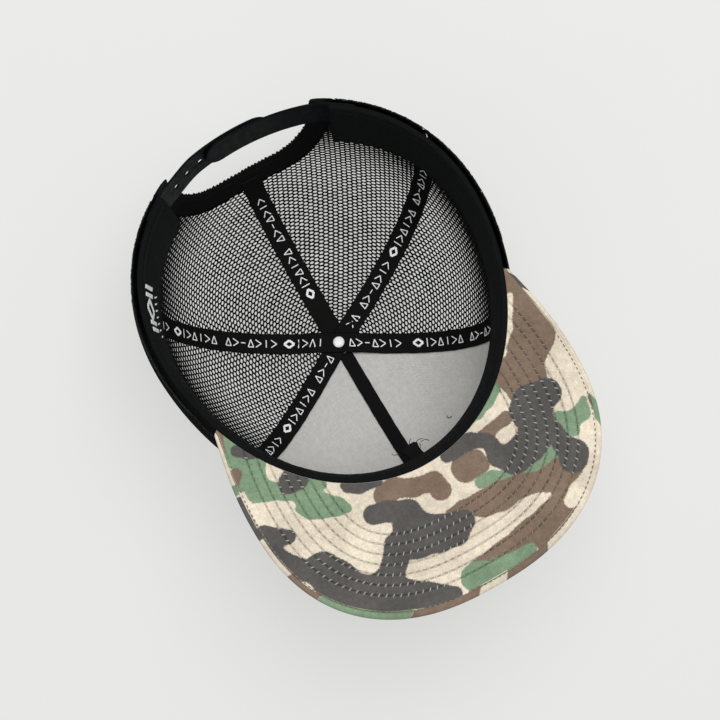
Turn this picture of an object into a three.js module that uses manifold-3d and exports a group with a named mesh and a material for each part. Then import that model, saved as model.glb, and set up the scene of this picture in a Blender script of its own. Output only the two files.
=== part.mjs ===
// A six-panel mesh-back cap with a stitched brim, a sweatband and a snap strap, as it stands when worn.
// Millimetres. +Z is up, the brim points to -Y and +X is the wearer's left.
// The origin is the centre of the head opening, in the plane that the rim rests on.
import * as THREE from "three";
import { mergeVertices } from "three/addons/utils/BufferGeometryUtils.js";
import Module from "manifold-3d";

const wasm = await Module();
wasm.setup();

// ---- Driving dimensions -------------------------------------------------------------------------

// The head opening: distance from the origin at each azimuth. Azimuth 0 is the front, 90 the wearer's left.
const RIM_MEAN = 93.2;
const RIM_SHIFT = -1.1;
const RIM_OVAL = 5.3;
const RIM_EGG = 1.9;

// The crown: its wall leaves the rim, swells to its widest level, then closes in a soft dome.
const CROWN_HEIGHT = 117;
const APEX_Y = 2.7;
const WALL = 2.9;
const WIDEST_Z = 20;
const SWELL = 5.1;
const SWELL_BACK = 1.95;
const DOME_POWER = 2.9;
const DOME_POWER_FRONT = 0.25;
const LOWER_SHARE = 0.12;
const TOP_HOLE_R = 5;
const NEAR_APEX = 0.98;
const SEAM_GAP = 0.2;
const PANEL_ANGLE = 60;

// Layers of the crown, as depths below its outer surface.
const MESH_THICKNESS = 1.2;
const FRONT_CLOTH = 1.0;
const BACKING_TOP = 1.3;
const BACKING_BOTTOM = 2.5;
const BACKING_RAISE = 1;

// Seam tapes.
const TAPE_WIDTH = 11.5;
const FRONT_TAPE_WIDTH = 7.6;
const TAPE_THICKNESS = 0.7;
const TAPE_DEPTH_MESH = 1.95;
const TAPE_DEPTH_FRONT = 3.2;
const CROSSING_RISE = 1.1;
const CROSSING_REACH = 13;
const TAPE_START_R = 13.5;
const TAPE_FOOT_Z = 24;
const FRONT_TAPE_FOOT_Z = 37;

// The half-moon gap at the back and its binding.
const ARCH_HALF_WIDTH = 43;
const ARCH_HEIGHT = 65;
const ARCH_POWER = 2.9;
const BINDING_SIDE = 9;
const BINDING_TOP = 12;
const BINDING_THICKNESS = 1.3;
const BINDING_GAP = 0.4;
const BINDING_REACH = 40;

// The sweatband leans in from the rim to its free upper edge.
const BAND_HEIGHT = 35;
const BAND_LEAN = 4.8;
const BAND_LEAN_FRONT = 1.4;
const BAND_LEAN_OVAL = 1.8;
const PADDING_MARGIN = 2;
const PADDING_OUTER = 0.3;
const PADDING_INNER = 1.2;
const COVER_OUTER = 1.5;
const COVER_INNER = 2.7;
const BAND_END_ANGLE = 30;

// The brim: a stiff board between two covers, arched across its width.
const BRIM_LIFT = 6;
const BRIM_FLAT_X = 89;
const BRIM_ANGLE = 66.5;
const BRIM_GAP = 0.4;
const BRIM_CORNER = new THREE.Vector2(82.8, -37);
const BRIM_HALF_WIDTH = 88.8;
const BRIM_WIDEST_Y = -83;
const BRIM_REACH = 84;
const BRIM_POWER = 2.4;
const BRIM_SIDE_SHARE = 0.3;
const BRIM_COVER = 0.8;
const BRIM_BOARD = 1.6;
const BRIM_LAYER_GAP = 0.3;
const BOARD_INSET = 3.5;
const BOARD_REACH = 0.9;
const BRIM_TOP = 2 * BRIM_COVER + BRIM_BOARD + 2 * BRIM_LAYER_GAP;
const BRIM_STEP_FROM = 70;
const BRIM_STEP_TO = 75;

// The snap strap. Angles are measured from the middle of the back, towards the wearer's right.
const STRAP_BOTTOM = 0.6;
const STRAP_WIDTH = 18;
const STRAP_THICKNESS = 1.2;
const STRAP_HALF_ANGLE = 27;
const STRAP_FLATTENING = 3;
const STRAP_LEAN = 0.11;
const STRAP_SEAT = 0.2;
const STRAP_LAP = 0.5;
const STRAP_LAP_RISE_ANGLE = 12;
const ROOT_END_ANGLE = 38;
const HINGE_ANGLE = 26;
const HINGE_HALF_GAP = 0.4;
const TIP_CROWDING = 1.6;
const TIP_EDGE = 0.03;
const HOLE_TIP_ANGLE = 11.4;
const PEG_TIP_ANGLE = -11.3;
const SNAP_PITCH = 5.3;
const FIRST_HOLE_ANGLE = -23.5;
const HOLE_COUNT = 7;
const HOLE_R = 2.4;
const FIRST_PEG_ANGLE = -7.6;
const PEG_COUNT = 6;
const PEG_R = 1.7;
const PEG_TIP_R = 1.35;
const PEG_HEIGHT = 2.3;

// The button on top and the rivet that holds it.
const BUTTON_R = 7.6;
const BUTTON_HEIGHT = 4.2;
const BUTTON_WALL = 0.7;
const BUTTON_LIFT = 0.35;
const CORE_R = 6.2;
const CORE_HEIGHT = 1.6;
const CORE_LIFT = 0.6;
const CORE_TAPER = 0.9;
const RIVET_GAP = 0.3;
const TURNED_SIDES = 24;
const DOME_STEPS = 6;
const RIVET_HEAD_R = 3.1;
const RIVET_HEAD_HEIGHT = 1.5;
const SHANK_R = 1.4;
const SHANK_HOLE_R = 1.8;

const UP = new THREE.Vector3(0, 0, 1);
const BACK = 180;

// How finely each shape is divided.
const FRONT_PANEL_GRID = [10, 14];
const MESH_PANEL_GRID = [12, 14];
const BINDING_GRID = [20, 8];
const BRIM_GRID = [26, 4];
const ARCH_STEPS = 16;
const LONG_TAPE_STEPS = 34;
const SHORT_TAPE_STEPS = 14;
const BAND_STEPS = 56;
const TONGUE_STEPS = 24;
const ROOT_STEPS = 6;
const PIN_SIDES = 14;

// Cutting tools reach past the parts that they cut.
const CUTTER_MARGIN = 5;
const CUTTER_NEAR_Y = 40;
const CUTTER_DEPTH = 80;
const DRILL_BELOW_APEX = 20;
const DRILL_LENGTH = 30;
const PUNCH_BELOW = 3;
const PUNCH_LENGTH = 8;

// ---- Materials ----------------------------------------------------------------------------------

const material = (color, roughness, metalness = 0) =>
  new THREE.MeshStandardMaterial({ color, roughness, metalness });
const BLACK_MESH = material(0x17191a, 0.8);
const BLACK_TAPE = material(0x101112, 0.75);
const BLACK_BAND = material(0x202424, 0.7);
const BLACK_PLASTIC = material(0x0d1012, 0.4);
const CAMO_CLOTH = material(0xc4b79c, 0.9);
const GREY_BACKING = material(0xaaa9a5, 0.95);
const WHITE_METAL = material(0xe8e8e8, 0.4);
const BOARD_PLASTIC = material(0xd8d8d2, 0.6);

// ---- Small helpers ------------------------------------------------------------------------------

const radians = THREE.MathUtils.degToRad;
const mix = THREE.MathUtils.lerp;
const smooth = (x, from, to) => THREE.MathUtils.smoothstep(x, from, to);

// A named mesh of one sub-part.
function part(name, geometry, look) {
  const mesh = new THREE.Mesh(geometry, look);
  mesh.name = name;
  return mesh;
}

// Signed volume of an indexed triangle list: negative when its faces point inwards.
function signedVolume(points, triangles) {
  let sum = 0;
  const cross = new THREE.Vector3();
  for (let i = 0; i < triangles.length; i += 3) {
    const [a, b, c] = triangles.slice(i, i + 3).map((k) => points[k]);
    sum += a.dot(cross.crossVectors(b, c));
  }
  return sum / 6;
}

// A closed plate: point(u, v, side) gives its two faces, side 0 and side 1, over the unit square.
function plate(point, uSteps, vSteps) {
  const points = [];
  const index = (side, i, j) => (side * (uSteps + 1) + i) * (vSteps + 1) + j;
  for (const side of [0, 1]) {
    for (let i = 0; i <= uSteps; i++) {
      for (let j = 0; j <= vSteps; j++) points.push(point(i / uSteps, j / vSteps, side));
    }
  }
  const triangles = [];
  const quad = (a, b, c, d) => triangles.push(a, b, c, a, c, d);
  for (let i = 0; i < uSteps; i++) {
    for (let j = 0; j < vSteps; j++) {
      quad(index(1, i, j), index(1, i + 1, j), index(1, i + 1, j + 1), index(1, i, j + 1));
      quad(index(0, i, j), index(0, i, j + 1), index(0, i + 1, j + 1), index(0, i + 1, j));
    }
    quad(index(0, i, 0), index(0, i + 1, 0), index(1, i + 1, 0), index(1, i, 0));
    quad(index(0, i, vSteps), index(1, i, vSteps), index(1, i + 1, vSteps), index(0, i + 1, vSteps));
  }
  for (let j = 0; j < vSteps; j++) {
    quad(index(0, 0, j), index(1, 0, j), index(1, 0, j + 1), index(0, 0, j + 1));
    quad(index(0, uSteps, j), index(0, uSteps, j + 1), index(1, uSteps, j + 1), index(1, uSteps, j));
  }
  if (signedVolume(points, triangles) < 0) triangles.reverse();
  const geometry = new THREE.BufferGeometry().setFromPoints(points);
  geometry.setIndex(triangles);
  return geometry;
}

// A closed three.js geometry as a manifold-3d solid, and back again.
function solid(geometry) {
  const bare = geometry.clone();
  bare.deleteAttribute("normal");
  bare.deleteAttribute("uv");
  const merged = mergeVertices(bare, 1e-4);
  const vertProperties = new Float32Array(merged.attributes.position.array);
  const triVerts = new Uint32Array(merged.index.array);
  return new wasm.Manifold(new wasm.Mesh({ numProp: 3, vertProperties, triVerts }));
}

function geometryOf(made) {
  const mesh = made.getMesh();
  const geometry = new THREE.BufferGeometry();
  geometry.setAttribute("position", new THREE.BufferAttribute(mesh.vertProperties, 3));
  geometry.setIndex(new THREE.BufferAttribute(mesh.triVerts, 1));
  return geometry;
}

// A round pin from one point towards another, tapering from the first radius to the second.
function pin(start, direction, length, startR, endR) {
  const geometry = new THREE.CylinderGeometry(endR, startR, length, PIN_SIDES);
  geometry.translate(0, length / 2, 0);
  const turn = new THREE.Quaternion().setFromUnitVectors(new THREE.Vector3(0, 1, 0), direction);
  geometry.applyQuaternion(turn);
  geometry.translate(start.x, start.y, start.z);
  return geometry;
}

// ---- The crown's surface ------------------------------------------------------------------------

const outward = (azimuth) =>
  new THREE.Vector3(Math.sin(radians(azimuth)), -Math.cos(radians(azimuth)), 0);

function rimRadius(azimuth) {
  const a = radians(azimuth);
  const front = RIM_SHIFT * Math.cos(a);
  return RIM_MEAN + front + RIM_OVAL * Math.cos(2 * a) + RIM_EGG * Math.cos(3 * a);
}

const rimPoint = (azimuth, offset = 0) =>
  outward(azimuth).multiplyScalar(rimRadius(azimuth) + offset);

const domePower = (azimuth) => DOME_POWER + DOME_POWER_FRONT * Math.cos(radians(azimuth));

// The dome's angle runs from 0 at its widest level to a right angle at the apex. Shares are eased at
// both ends, which spaces equal steps of v about evenly along the wall.
function angleAtShare(v) {
  const w = Math.min(1, (v - LOWER_SHARE) / (1 - LOWER_SHARE));
  return (Math.PI / 2) * w * w * (3 - 2 * w);
}

function shareAtAngle(angle) {
  const eased = angle / (Math.PI / 2);
  const w = 0.5 - Math.sin(Math.asin(1 - 2 * eased) / 3);
  return LOWER_SHARE + (1 - LOWER_SHARE) * w;
}

// The share v, 0 at the rim's plane and 1 at the apex, at which the wall reaches height z.
function shareAtHeight(azimuth, z) {
  if (z < WIDEST_Z) return (LOWER_SHARE * z) / WIDEST_Z;
  const rise = (z - WIDEST_Z) / (CROWN_HEIGHT - WIDEST_Z);
  return shareAtAngle(Math.asin(rise ** (domePower(azimuth) / 2)));
}

// The share v at which the dome is the given distance from its axis.
function shareAtRadius(azimuth, radius) {
  const widest = rimRadius(azimuth) + swell(azimuth);
  return shareAtAngle(Math.acos((radius / widest) ** (domePower(azimuth) / 2)));
}

const swell = (azimuth) => SWELL - SWELL_BACK * Math.cos(radians(azimuth));

// One point of the outer surface, on the meridian of an azimuth.
function meridian(azimuth, v) {
  const rim = rimRadius(azimuth);
  if (v < LOWER_SHARE) {
    const rise = Math.sin(((Math.PI / 2) * v) / LOWER_SHARE);
    const r = rim + WALL + (swell(azimuth) - WALL) * rise;
    return outward(azimuth).multiplyScalar(r).setZ((WIDEST_Z * v) / LOWER_SHARE);
  }
  const angle = angleAtShare(v);
  const power = 2 / domePower(azimuth);
  const spread = Math.max(0, Math.cos(angle)) ** power;
  const height = Math.sin(angle) ** power;
  const widest = outward(azimuth).multiplyScalar(rim + swell(azimuth));
  const apex = new THREE.Vector3(0, APEX_Y, 0);
  return apex.lerp(widest, spread).setZ(WIDEST_Z + (CROWN_HEIGHT - WIDEST_Z) * height);
}

// The surface's own directions there: along the wall at constant share, and out of the wall.
function wallDirections(azimuth, v) {
  const at = Math.min(v, NEAR_APEX);
  const step = 1e-3;
  const side = meridian(azimuth + step, at).sub(meridian(azimuth - step, at)).normalize();
  const rise = meridian(azimuth, Math.min(1, v + step)).sub(meridian(azimuth, Math.max(0, v - step)));
  return { side, normal: side.clone().cross(rise).normalize() };
}

// The surface's point, a depth below the surface and shifted sideways along the wall.
function crownPoint(azimuth, v, depth, sideways = 0) {
  const { side, normal } = wallDirections(azimuth, v);
  return meridian(azimuth, v).addScaledVector(normal, -depth).addScaledVector(side, sideways);
}

// ---- Crown panels -------------------------------------------------------------------------------

// Height of the brim's lower face across its width.
const brimArch = (x) => BRIM_LIFT * Math.max(0, 1 - (x / BRIM_FLAT_X) ** 2);

// Height of the crown's lower edge: on top of the brim at the front, at the rim's plane elsewhere.
function crownFoot(azimuth) {
  const onBrim = brimArch(rimPoint(azimuth).x) + BRIM_TOP + BRIM_LAYER_GAP;
  return onBrim * (1 - smooth(Math.abs(azimuth), BRIM_STEP_FROM, BRIM_STEP_TO));
}

// A panel from one seam to the next, raised above the crown's lower edge.
function panel(firstSeam, raise, outerDepth, innerDepth, grid) {
  return plate(
    (u, v, side) => {
      const azimuth = firstSeam + PANEL_ANGLE * u;
      const start = shareAtHeight(azimuth, crownFoot(azimuth) + raise);
      const end = shareAtRadius(azimuth, TOP_HOLE_R);
      const sideways = SEAM_GAP * (1 - 2 * u);
      return crownPoint(azimuth, mix(start, end, v), side ? outerDepth : innerDepth, sideways);
    },
    ...grid,
  );
}

// The half-moon outline, enlarged by a margin at its sides and top, as a block through the back wall.
function archBlock(sideMargin, topMargin) {
  const halfWidth = ARCH_HALF_WIDTH + sideMargin;
  const height = ARCH_HEIGHT + topMargin;
  const below = -CUTTER_MARGIN;
  const outline = new THREE.Shape();
  outline.moveTo(halfWidth, below);
  for (let i = 0; i <= ARCH_STEPS; i++) {
    const angle = (Math.PI * i) / ARCH_STEPS;
    const x = halfWidth * Math.sign(Math.cos(angle)) * Math.abs(Math.cos(angle)) ** (2 / ARCH_POWER);
    outline.lineTo(x, height * Math.max(0, Math.sin(angle)) ** (2 / ARCH_POWER));
  }
  outline.lineTo(-halfWidth, below);
  const geometry = new THREE.ExtrudeGeometry(outline, { depth: CUTTER_DEPTH, bevelEnabled: false });
  geometry.rotateX(Math.PI / 2);
  geometry.translate(0, CUTTER_NEAR_Y + CUTTER_DEPTH, 0);
  return solid(geometry);
}

function makePanels() {
  const parts = [];
  const gap = archBlock(BINDING_SIDE + BINDING_GAP, BINDING_TOP + BINDING_GAP);
  for (const [side, front, flank, rear] of [
    ["left", 0, PANEL_ANGLE, 2 * PANEL_ANGLE],
    ["right", -PANEL_ANGLE, -2 * PANEL_ANGLE, BACK],
  ]) {
    const cloth = panel(front, 0, 0, FRONT_CLOTH, FRONT_PANEL_GRID);
    const backing = panel(front, BACKING_RAISE, BACKING_TOP, BACKING_BOTTOM, FRONT_PANEL_GRID);
    const sideMesh = panel(flank, 0, 0, MESH_THICKNESS, MESH_PANEL_GRID);
    const rearMesh = solid(panel(rear, 0, 0, MESH_THICKNESS, MESH_PANEL_GRID)).subtract(gap);
    parts.push(part(`front_panel_${side}`, cloth, CAMO_CLOTH));
    parts.push(part(`front_backing_${side}`, backing, GREY_BACKING));
    parts.push(part(`side_mesh_${side}`, sideMesh, BLACK_MESH));
    parts.push(part(`rear_mesh_${side}`, geometryOf(rearMesh), BLACK_MESH));
  }
  return parts;
}

// ---- Arch binding -------------------------------------------------------------------------------

// The binding is the strip of wall between the gap and the edge of the mesh.
function makeArchBinding() {
  const top = ARCH_HEIGHT + BINDING_TOP + CUTTER_MARGIN;
  const wall = plate(
    (u, v, side) => {
      const azimuth = BACK + mix(-BINDING_REACH, BINDING_REACH, u);
      return crownPoint(azimuth, shareAtHeight(azimuth, top) * v, side ? 0 : BINDING_THICKNESS);
    },
    ...BINDING_GRID,
  );
  const strip = solid(wall).intersect(archBlock(BINDING_SIDE, BINDING_TOP)).subtract(archBlock(0, 0));
  return part("arch_binding", geometryOf(strip), BLACK_TAPE);
}

// ---- Seam tapes ---------------------------------------------------------------------------------

// One cross-section of a tape on the seam at an azimuth, at share v.
const tapePoint = (azimuth, v, across, width, depth) =>
  crownPoint(azimuth, v, depth, (across - 0.5) * width);

const seamDepth = (azimuth) =>
  mix(TAPE_DEPTH_MESH, TAPE_DEPTH_FRONT, smooth(Math.cos(radians(azimuth)), 0, 0.5));

// A tape that runs up one seam, over the top and down the opposite seam, with a hole for the rivet.
function overTheTopTape(name, firstSeam, rise) {
  const secondSeam = firstSeam + 180;
  const point = (u, v, side) => {
    const first = u < 0.5;
    const seam = first ? firstSeam : secondSeam;
    const share = mix(shareAtHeight(seam, TAPE_FOOT_Z), 1, 1 - Math.abs(1 - 2 * u));
    const near = 1 - smooth(meridianRadius(seam, share), CROSSING_REACH, 2 * CROSSING_REACH);
    const between = (seamDepth(firstSeam) + seamDepth(secondSeam)) / 2;
    const depth = mix(seamDepth(seam), Math.max(between, TAPE_DEPTH_FRONT) + rise, near);
    return tapePoint(seam, share, first ? v : 1 - v, TAPE_WIDTH, depth + (side ? 0 : TAPE_THICKNESS));
  };
  const start = new THREE.Vector3(0, APEX_Y, CROWN_HEIGHT - DRILL_BELOW_APEX);
  const drill = solid(pin(start, UP, DRILL_LENGTH, SHANK_HOLE_R, SHANK_HOLE_R));
  const strip = solid(plate(point, LONG_TAPE_STEPS, 1));
  return part(name, geometryOf(strip.subtract(drill)), BLACK_TAPE);
}

const meridianRadius = (azimuth, v) =>
  meridian(azimuth, v).setZ(0).distanceTo(new THREE.Vector3(0, APEX_Y, 0));

// A tape that runs from a foot height up to the crossing.
function shortTape(name, seam, width, footZ) {
  const geometry = plate(
    (u, v, side) => {
      const share = mix(shareAtHeight(seam, footZ), shareAtRadius(seam, TAPE_START_R), u);
      return tapePoint(seam, share, v, width, seamDepth(seam) + (side ? 0 : TAPE_THICKNESS));
    },
    SHORT_TAPE_STEPS,
    1,
  );
  return part(name, geometry, BLACK_TAPE);
}

function makeTapes() {
  const backFoot = ARCH_HEIGHT + BINDING_TOP / 2;
  return [
    overTheTopTape("seam_tape_cross", 2 * PANEL_ANGLE, CROSSING_RISE),
    overTheTopTape("seam_tape_diagonal", PANEL_ANGLE, 0),
    shortTape("seam_tape_back", BACK, TAPE_WIDTH, backFoot),
    shortTape("seam_tape_front", 0, FRONT_TAPE_WIDTH, FRONT_TAPE_FOOT_Z),
  ];
}

// ---- Sweatband ----------------------------------------------------------------------------------

function bandLean(azimuth) {
  const a = radians(azimuth);
  return BAND_LEAN + BAND_LEAN_FRONT * Math.cos(a) + BAND_LEAN_OVAL * Math.cos(2 * a);
}

// A layer of the sweatband, between two depths inside the rim.
function bandLayer(outerDepth, innerDepth, foot, top) {
  const reach = BACK - BAND_END_ANGLE;
  return plate(
    (u, v, side) => {
      const azimuth = mix(-reach, reach, u);
      const lower = Math.abs(azimuth) < 90 ? brimArch(rimPoint(azimuth).x) : 0;
      const z = mix(lower + foot, top, v);
      const inward = (side ? outerDepth : innerDepth) + (bandLean(azimuth) * z) / BAND_HEIGHT;
      return rimPoint(azimuth, -inward).setZ(z);
    },
    BAND_STEPS,
    1,
  );
}

function makeSweatband() {
  const cover = bandLayer(COVER_OUTER, COVER_INNER, 0, BAND_HEIGHT);
  const top = BAND_HEIGHT - PADDING_MARGIN;
  const padding = bandLayer(PADDING_OUTER, PADDING_INNER, PADDING_MARGIN, top);
  return [
    part("sweatband_cover", cover, BLACK_BAND),
    part("sweatband_padding", padding, BLACK_BAND),
  ];
}

// ---- Brim ---------------------------------------------------------------------------------------

// The brim's outline, from u = -1 at the wearer's right corner to u = 1 at the left corner.
function brimOutline(u) {
  const s = Math.abs(u);
  const sign = Math.sign(u);
  const turn = 1 - BRIM_SIDE_SHARE;
  if (s > turn) {
    const k = (s - turn) / BRIM_SIDE_SHARE;
    const bulge = Math.cos((Math.PI / 2) * k);
    const x = mix(BRIM_CORNER.x, BRIM_HALF_WIDTH, bulge);
    return new THREE.Vector3(sign * x, mix(BRIM_WIDEST_Y, BRIM_CORNER.y, k), 0);
  }
  const angle = ((Math.PI / 2) * s) / turn;
  const x = BRIM_HALF_WIDTH * Math.sin(angle) ** (2 / BRIM_POWER);
  const y = BRIM_WIDEST_Y - BRIM_REACH * Math.max(0, Math.cos(angle)) ** (2 / BRIM_POWER);
  return new THREE.Vector3(sign * x, y, 0);
}

// A layer of the brim between two heights above its lower face, inset from the outline.
function brimLayer(bottom, top, inset, reach) {
  return plate(
    (u, v, side) => {
      const along = reach * (2 * u - 1);
      const inner = rimPoint(BRIM_ANGLE * along, BRIM_GAP);
      const outer = brimOutline(along);
      const length = inner.distanceTo(outer);
      const share = mix(inset / (4 * length), 1 - inset / length, v);
      const point = inner.lerp(outer, share);
      return point.setZ(brimArch(point.x) + (side ? top : bottom));
    },
    ...BRIM_GRID,
  );
}

function makeBrim() {
  const boardBottom = BRIM_COVER + BRIM_LAYER_GAP;
  const boardTop = boardBottom + BRIM_BOARD;
  return [
    part("visor_under_cover", brimLayer(0, BRIM_COVER, 0, 1), CAMO_CLOTH),
    part("visor_board", brimLayer(boardBottom, boardTop, BOARD_INSET, BOARD_REACH), BOARD_PLASTIC),
    part("visor_top_cover", brimLayer(boardTop + BRIM_LAYER_GAP, BRIM_TOP, 0, 1), CAMO_CLOTH),
  ];
}

// ---- Snap strap ---------------------------------------------------------------------------------

// A point of a strap: angle from the middle of the back, height, and distance out from the rim.
function strapPoint(fromBack, z, offset) {
  const azimuth = BACK + fromBack;
  const bow = Math.max(0, 1 - (fromBack / STRAP_HALF_ANGLE) ** 2);
  const inward = STRAP_FLATTENING * bow + STRAP_LEAN * z;
  return rimPoint(azimuth, offset - inward).setZ(z);
}

// How far out the strap's inner face lies: both roots lie on the rim, and the hole strap laps over.
function holeStrapOffset(fromBack) {
  const lapped = smooth(fromBack, -HINGE_ANGLE, -HINGE_ANGLE + STRAP_LAP_RISE_ANGLE);
  return STRAP_SEAT + lapped * (STRAP_THICKNESS + STRAP_LAP);
}
const pegStrapOffset = () => STRAP_SEAT;

// A length of strap between two angles, with a round tip at its second end where asked. Steps crowd
// towards the tip, which ends in a short straight edge.
function strapBar(from, to, offset, roundTip, steps) {
  const middle = STRAP_BOTTOM + STRAP_WIDTH / 2;
  const degreeLength = radians(1) * rimRadius(BACK);
  return plate(
    (u, v, side) => {
      const eased = roundTip ? 1 - (1 - u) ** TIP_CROWDING : u;
      const angle = mix(from, to, eased);
      const left = (Math.abs(to - angle) * degreeLength) / (STRAP_WIDTH / 2);
      const narrow = roundTip && left < 1 ? Math.sqrt(Math.max(TIP_EDGE, 1 - (1 - left) ** 2)) : 1;
      const z = middle + (v - 0.5) * STRAP_WIDTH * narrow;
      return strapPoint(angle, z, offset(angle) + (side ? STRAP_THICKNESS : 0));
    },
    steps,
    1,
  );
}

// Place and outward direction of a snap at an angle, on a strap's inner face.
function snapSeat(angle, offset) {
  const z = STRAP_BOTTOM + STRAP_WIDTH / 2;
  const seat = strapPoint(angle, z, offset);
  const along = strapPoint(angle + 1, z, offset).sub(strapPoint(angle - 1, z, offset));
  const up = strapPoint(angle, z + 1, offset).sub(strapPoint(angle, z - 1, offset));
  return { seat, direction: along.cross(up).normalize() };
}

function makeHoleStrap() {
  const start = -HINGE_ANGLE + HINGE_HALF_GAP;
  let tongue = solid(strapBar(start, HOLE_TIP_ANGLE, holeStrapOffset, true, TONGUE_STEPS));
  for (let i = 0; i < HOLE_COUNT; i++) {
    const angle = FIRST_HOLE_ANGLE + i * SNAP_PITCH;
    const { seat, direction } = snapSeat(angle, holeStrapOffset(angle));
    const from = seat.addScaledVector(direction, -PUNCH_BELOW);
    tongue = tongue.subtract(solid(pin(from, direction, PUNCH_LENGTH, HOLE_R, HOLE_R)));
  }
  const rootEnd = -HINGE_ANGLE - HINGE_HALF_GAP;
  const root = strapBar(-ROOT_END_ANGLE, rootEnd, holeStrapOffset, false, ROOT_STEPS);
  return [
    part("hole_strap_root", root, BLACK_PLASTIC),
    part("hole_strap_tongue", geometryOf(tongue), BLACK_PLASTIC),
  ];
}

function makePegStrap() {
  const start = HINGE_ANGLE - HINGE_HALF_GAP;
  let tongue = solid(strapBar(start, PEG_TIP_ANGLE, pegStrapOffset, true, TONGUE_STEPS));
  for (let i = 0; i < PEG_COUNT; i++) {
    const angle = FIRST_PEG_ANGLE + i * SNAP_PITCH;
    const { seat, direction } = snapSeat(angle, STRAP_SEAT);
    const from = seat.addScaledVector(direction, STRAP_THICKNESS / 2);
    const length = STRAP_THICKNESS / 2 + PEG_HEIGHT;
    tongue = tongue.add(solid(pin(from, direction, length, PEG_R, PEG_TIP_R)));
  }
  const rootEnd = HINGE_ANGLE + HINGE_HALF_GAP;
  const root = strapBar(ROOT_END_ANGLE, rootEnd, pegStrapOffset, false, ROOT_STEPS);
  return [
    part("peg_strap_root", root, BLACK_PLASTIC),
    part("peg_strap_tongue", geometryOf(tongue), BLACK_PLASTIC),
  ];
}

// ---- Button and rivet ---------------------------------------------------------------------------

// A round part on the crown's axis, from a list of radius and height pairs closed on the axis.
function turned(name, profile, look) {
  const points = profile.map(([r, z]) => new THREE.Vector2(r, z));
  const geometry = new THREE.LatheGeometry(points, TURNED_SIDES);
  geometry.rotateX(Math.PI / 2);
  geometry.translate(0, APEX_Y, CROWN_HEIGHT);
  if (solid(geometry).volume() < 0) throw new Error(`${name} is inside out`);
  return part(name, geometry, look);
}

// A quarter of a dome's outline, from the rim to the axis.
function domeArc(radius, base, height) {
  return Array.from({ length: DOME_STEPS + 1 }, (_, i) => {
    const a = ((Math.PI / 2) * i) / DOME_STEPS;
    return [i === DOME_STEPS ? 0 : radius * Math.cos(a), base + height * Math.sin(a)];
  });
}

function makeButton() {
  const shellTop = domeArc(BUTTON_R, BUTTON_LIFT, BUTTON_HEIGHT);
  const hollowR = BUTTON_R - BUTTON_WALL;
  const hollow = domeArc(hollowR, BUTTON_LIFT, BUTTON_HEIGHT - BUTTON_WALL).reverse();
  const cover = turned("top_button_cover", [...shellTop, ...hollow, shellTop[0]], CAMO_CLOTH);
  const coreTop = CORE_LIFT + CORE_HEIGHT;
  const coreSide = [[CORE_R, CORE_LIFT], [CORE_R * CORE_TAPER, coreTop]];
  const coreOutline = [[0, CORE_LIFT], ...coreSide, [0, coreTop]];
  const core = turned("top_button_core", coreOutline, WHITE_METAL);
  const tapeUnderside = -(TAPE_DEPTH_FRONT + CROSSING_RISE + TAPE_THICKNESS) - RIVET_GAP;
  const head = domeArc(RIVET_HEAD_R, 0, RIVET_HEAD_HEIGHT).map(([r, z]) => [r, tapeUnderside - z]);
  const shankTop = CORE_LIFT - RIVET_GAP;
  const outline = [...head.reverse(), [SHANK_R, tapeUnderside], [SHANK_R, shankTop], [0, shankTop]];
  return [cover, core, turned("button_rivet", outline, WHITE_METAL)];
}

// ---- The cap ------------------------------------------------------------------------------------

const cap = new THREE.Group();
cap.add(
  ...makePanels(),
  makeArchBinding(),
  ...makeTapes(),
  ...makeSweatband(),
  ...makeBrim(),
  ...makeHoleStrap(),
  ...makePegStrap(),
  ...makeButton(),
);

export default cap;
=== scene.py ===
"""The looks of a six-panel mesh-back cap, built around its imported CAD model.

Shapes are worked out in millimetres, in the CAD frame: +Z up, the brim towards -Y, +X the wearer's left.
Azimuths are degrees from the front (-Y), positive towards +X. piece() turns millimetres into metres.
"""

import math

import bmesh
import bpy
import numpy as np
from mathutils import Matrix, Vector


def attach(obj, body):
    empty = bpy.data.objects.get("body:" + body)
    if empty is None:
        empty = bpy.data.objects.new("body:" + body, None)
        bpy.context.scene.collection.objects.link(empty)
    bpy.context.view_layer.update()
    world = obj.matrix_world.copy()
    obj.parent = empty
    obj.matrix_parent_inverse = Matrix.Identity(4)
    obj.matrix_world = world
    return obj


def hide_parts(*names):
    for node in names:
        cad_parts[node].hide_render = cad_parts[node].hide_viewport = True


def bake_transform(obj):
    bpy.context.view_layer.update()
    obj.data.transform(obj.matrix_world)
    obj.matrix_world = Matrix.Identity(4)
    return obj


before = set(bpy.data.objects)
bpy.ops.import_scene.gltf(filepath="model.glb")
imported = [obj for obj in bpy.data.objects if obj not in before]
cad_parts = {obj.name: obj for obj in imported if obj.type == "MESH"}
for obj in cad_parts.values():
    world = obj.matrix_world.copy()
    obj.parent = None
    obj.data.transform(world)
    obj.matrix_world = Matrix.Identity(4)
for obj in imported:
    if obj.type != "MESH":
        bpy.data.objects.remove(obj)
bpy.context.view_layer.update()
MM = 0.001
rng = np.random.default_rng(7)

# ---- The CAD model's driving dimensions, repeated from part.mjs ---------------------------------

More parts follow.
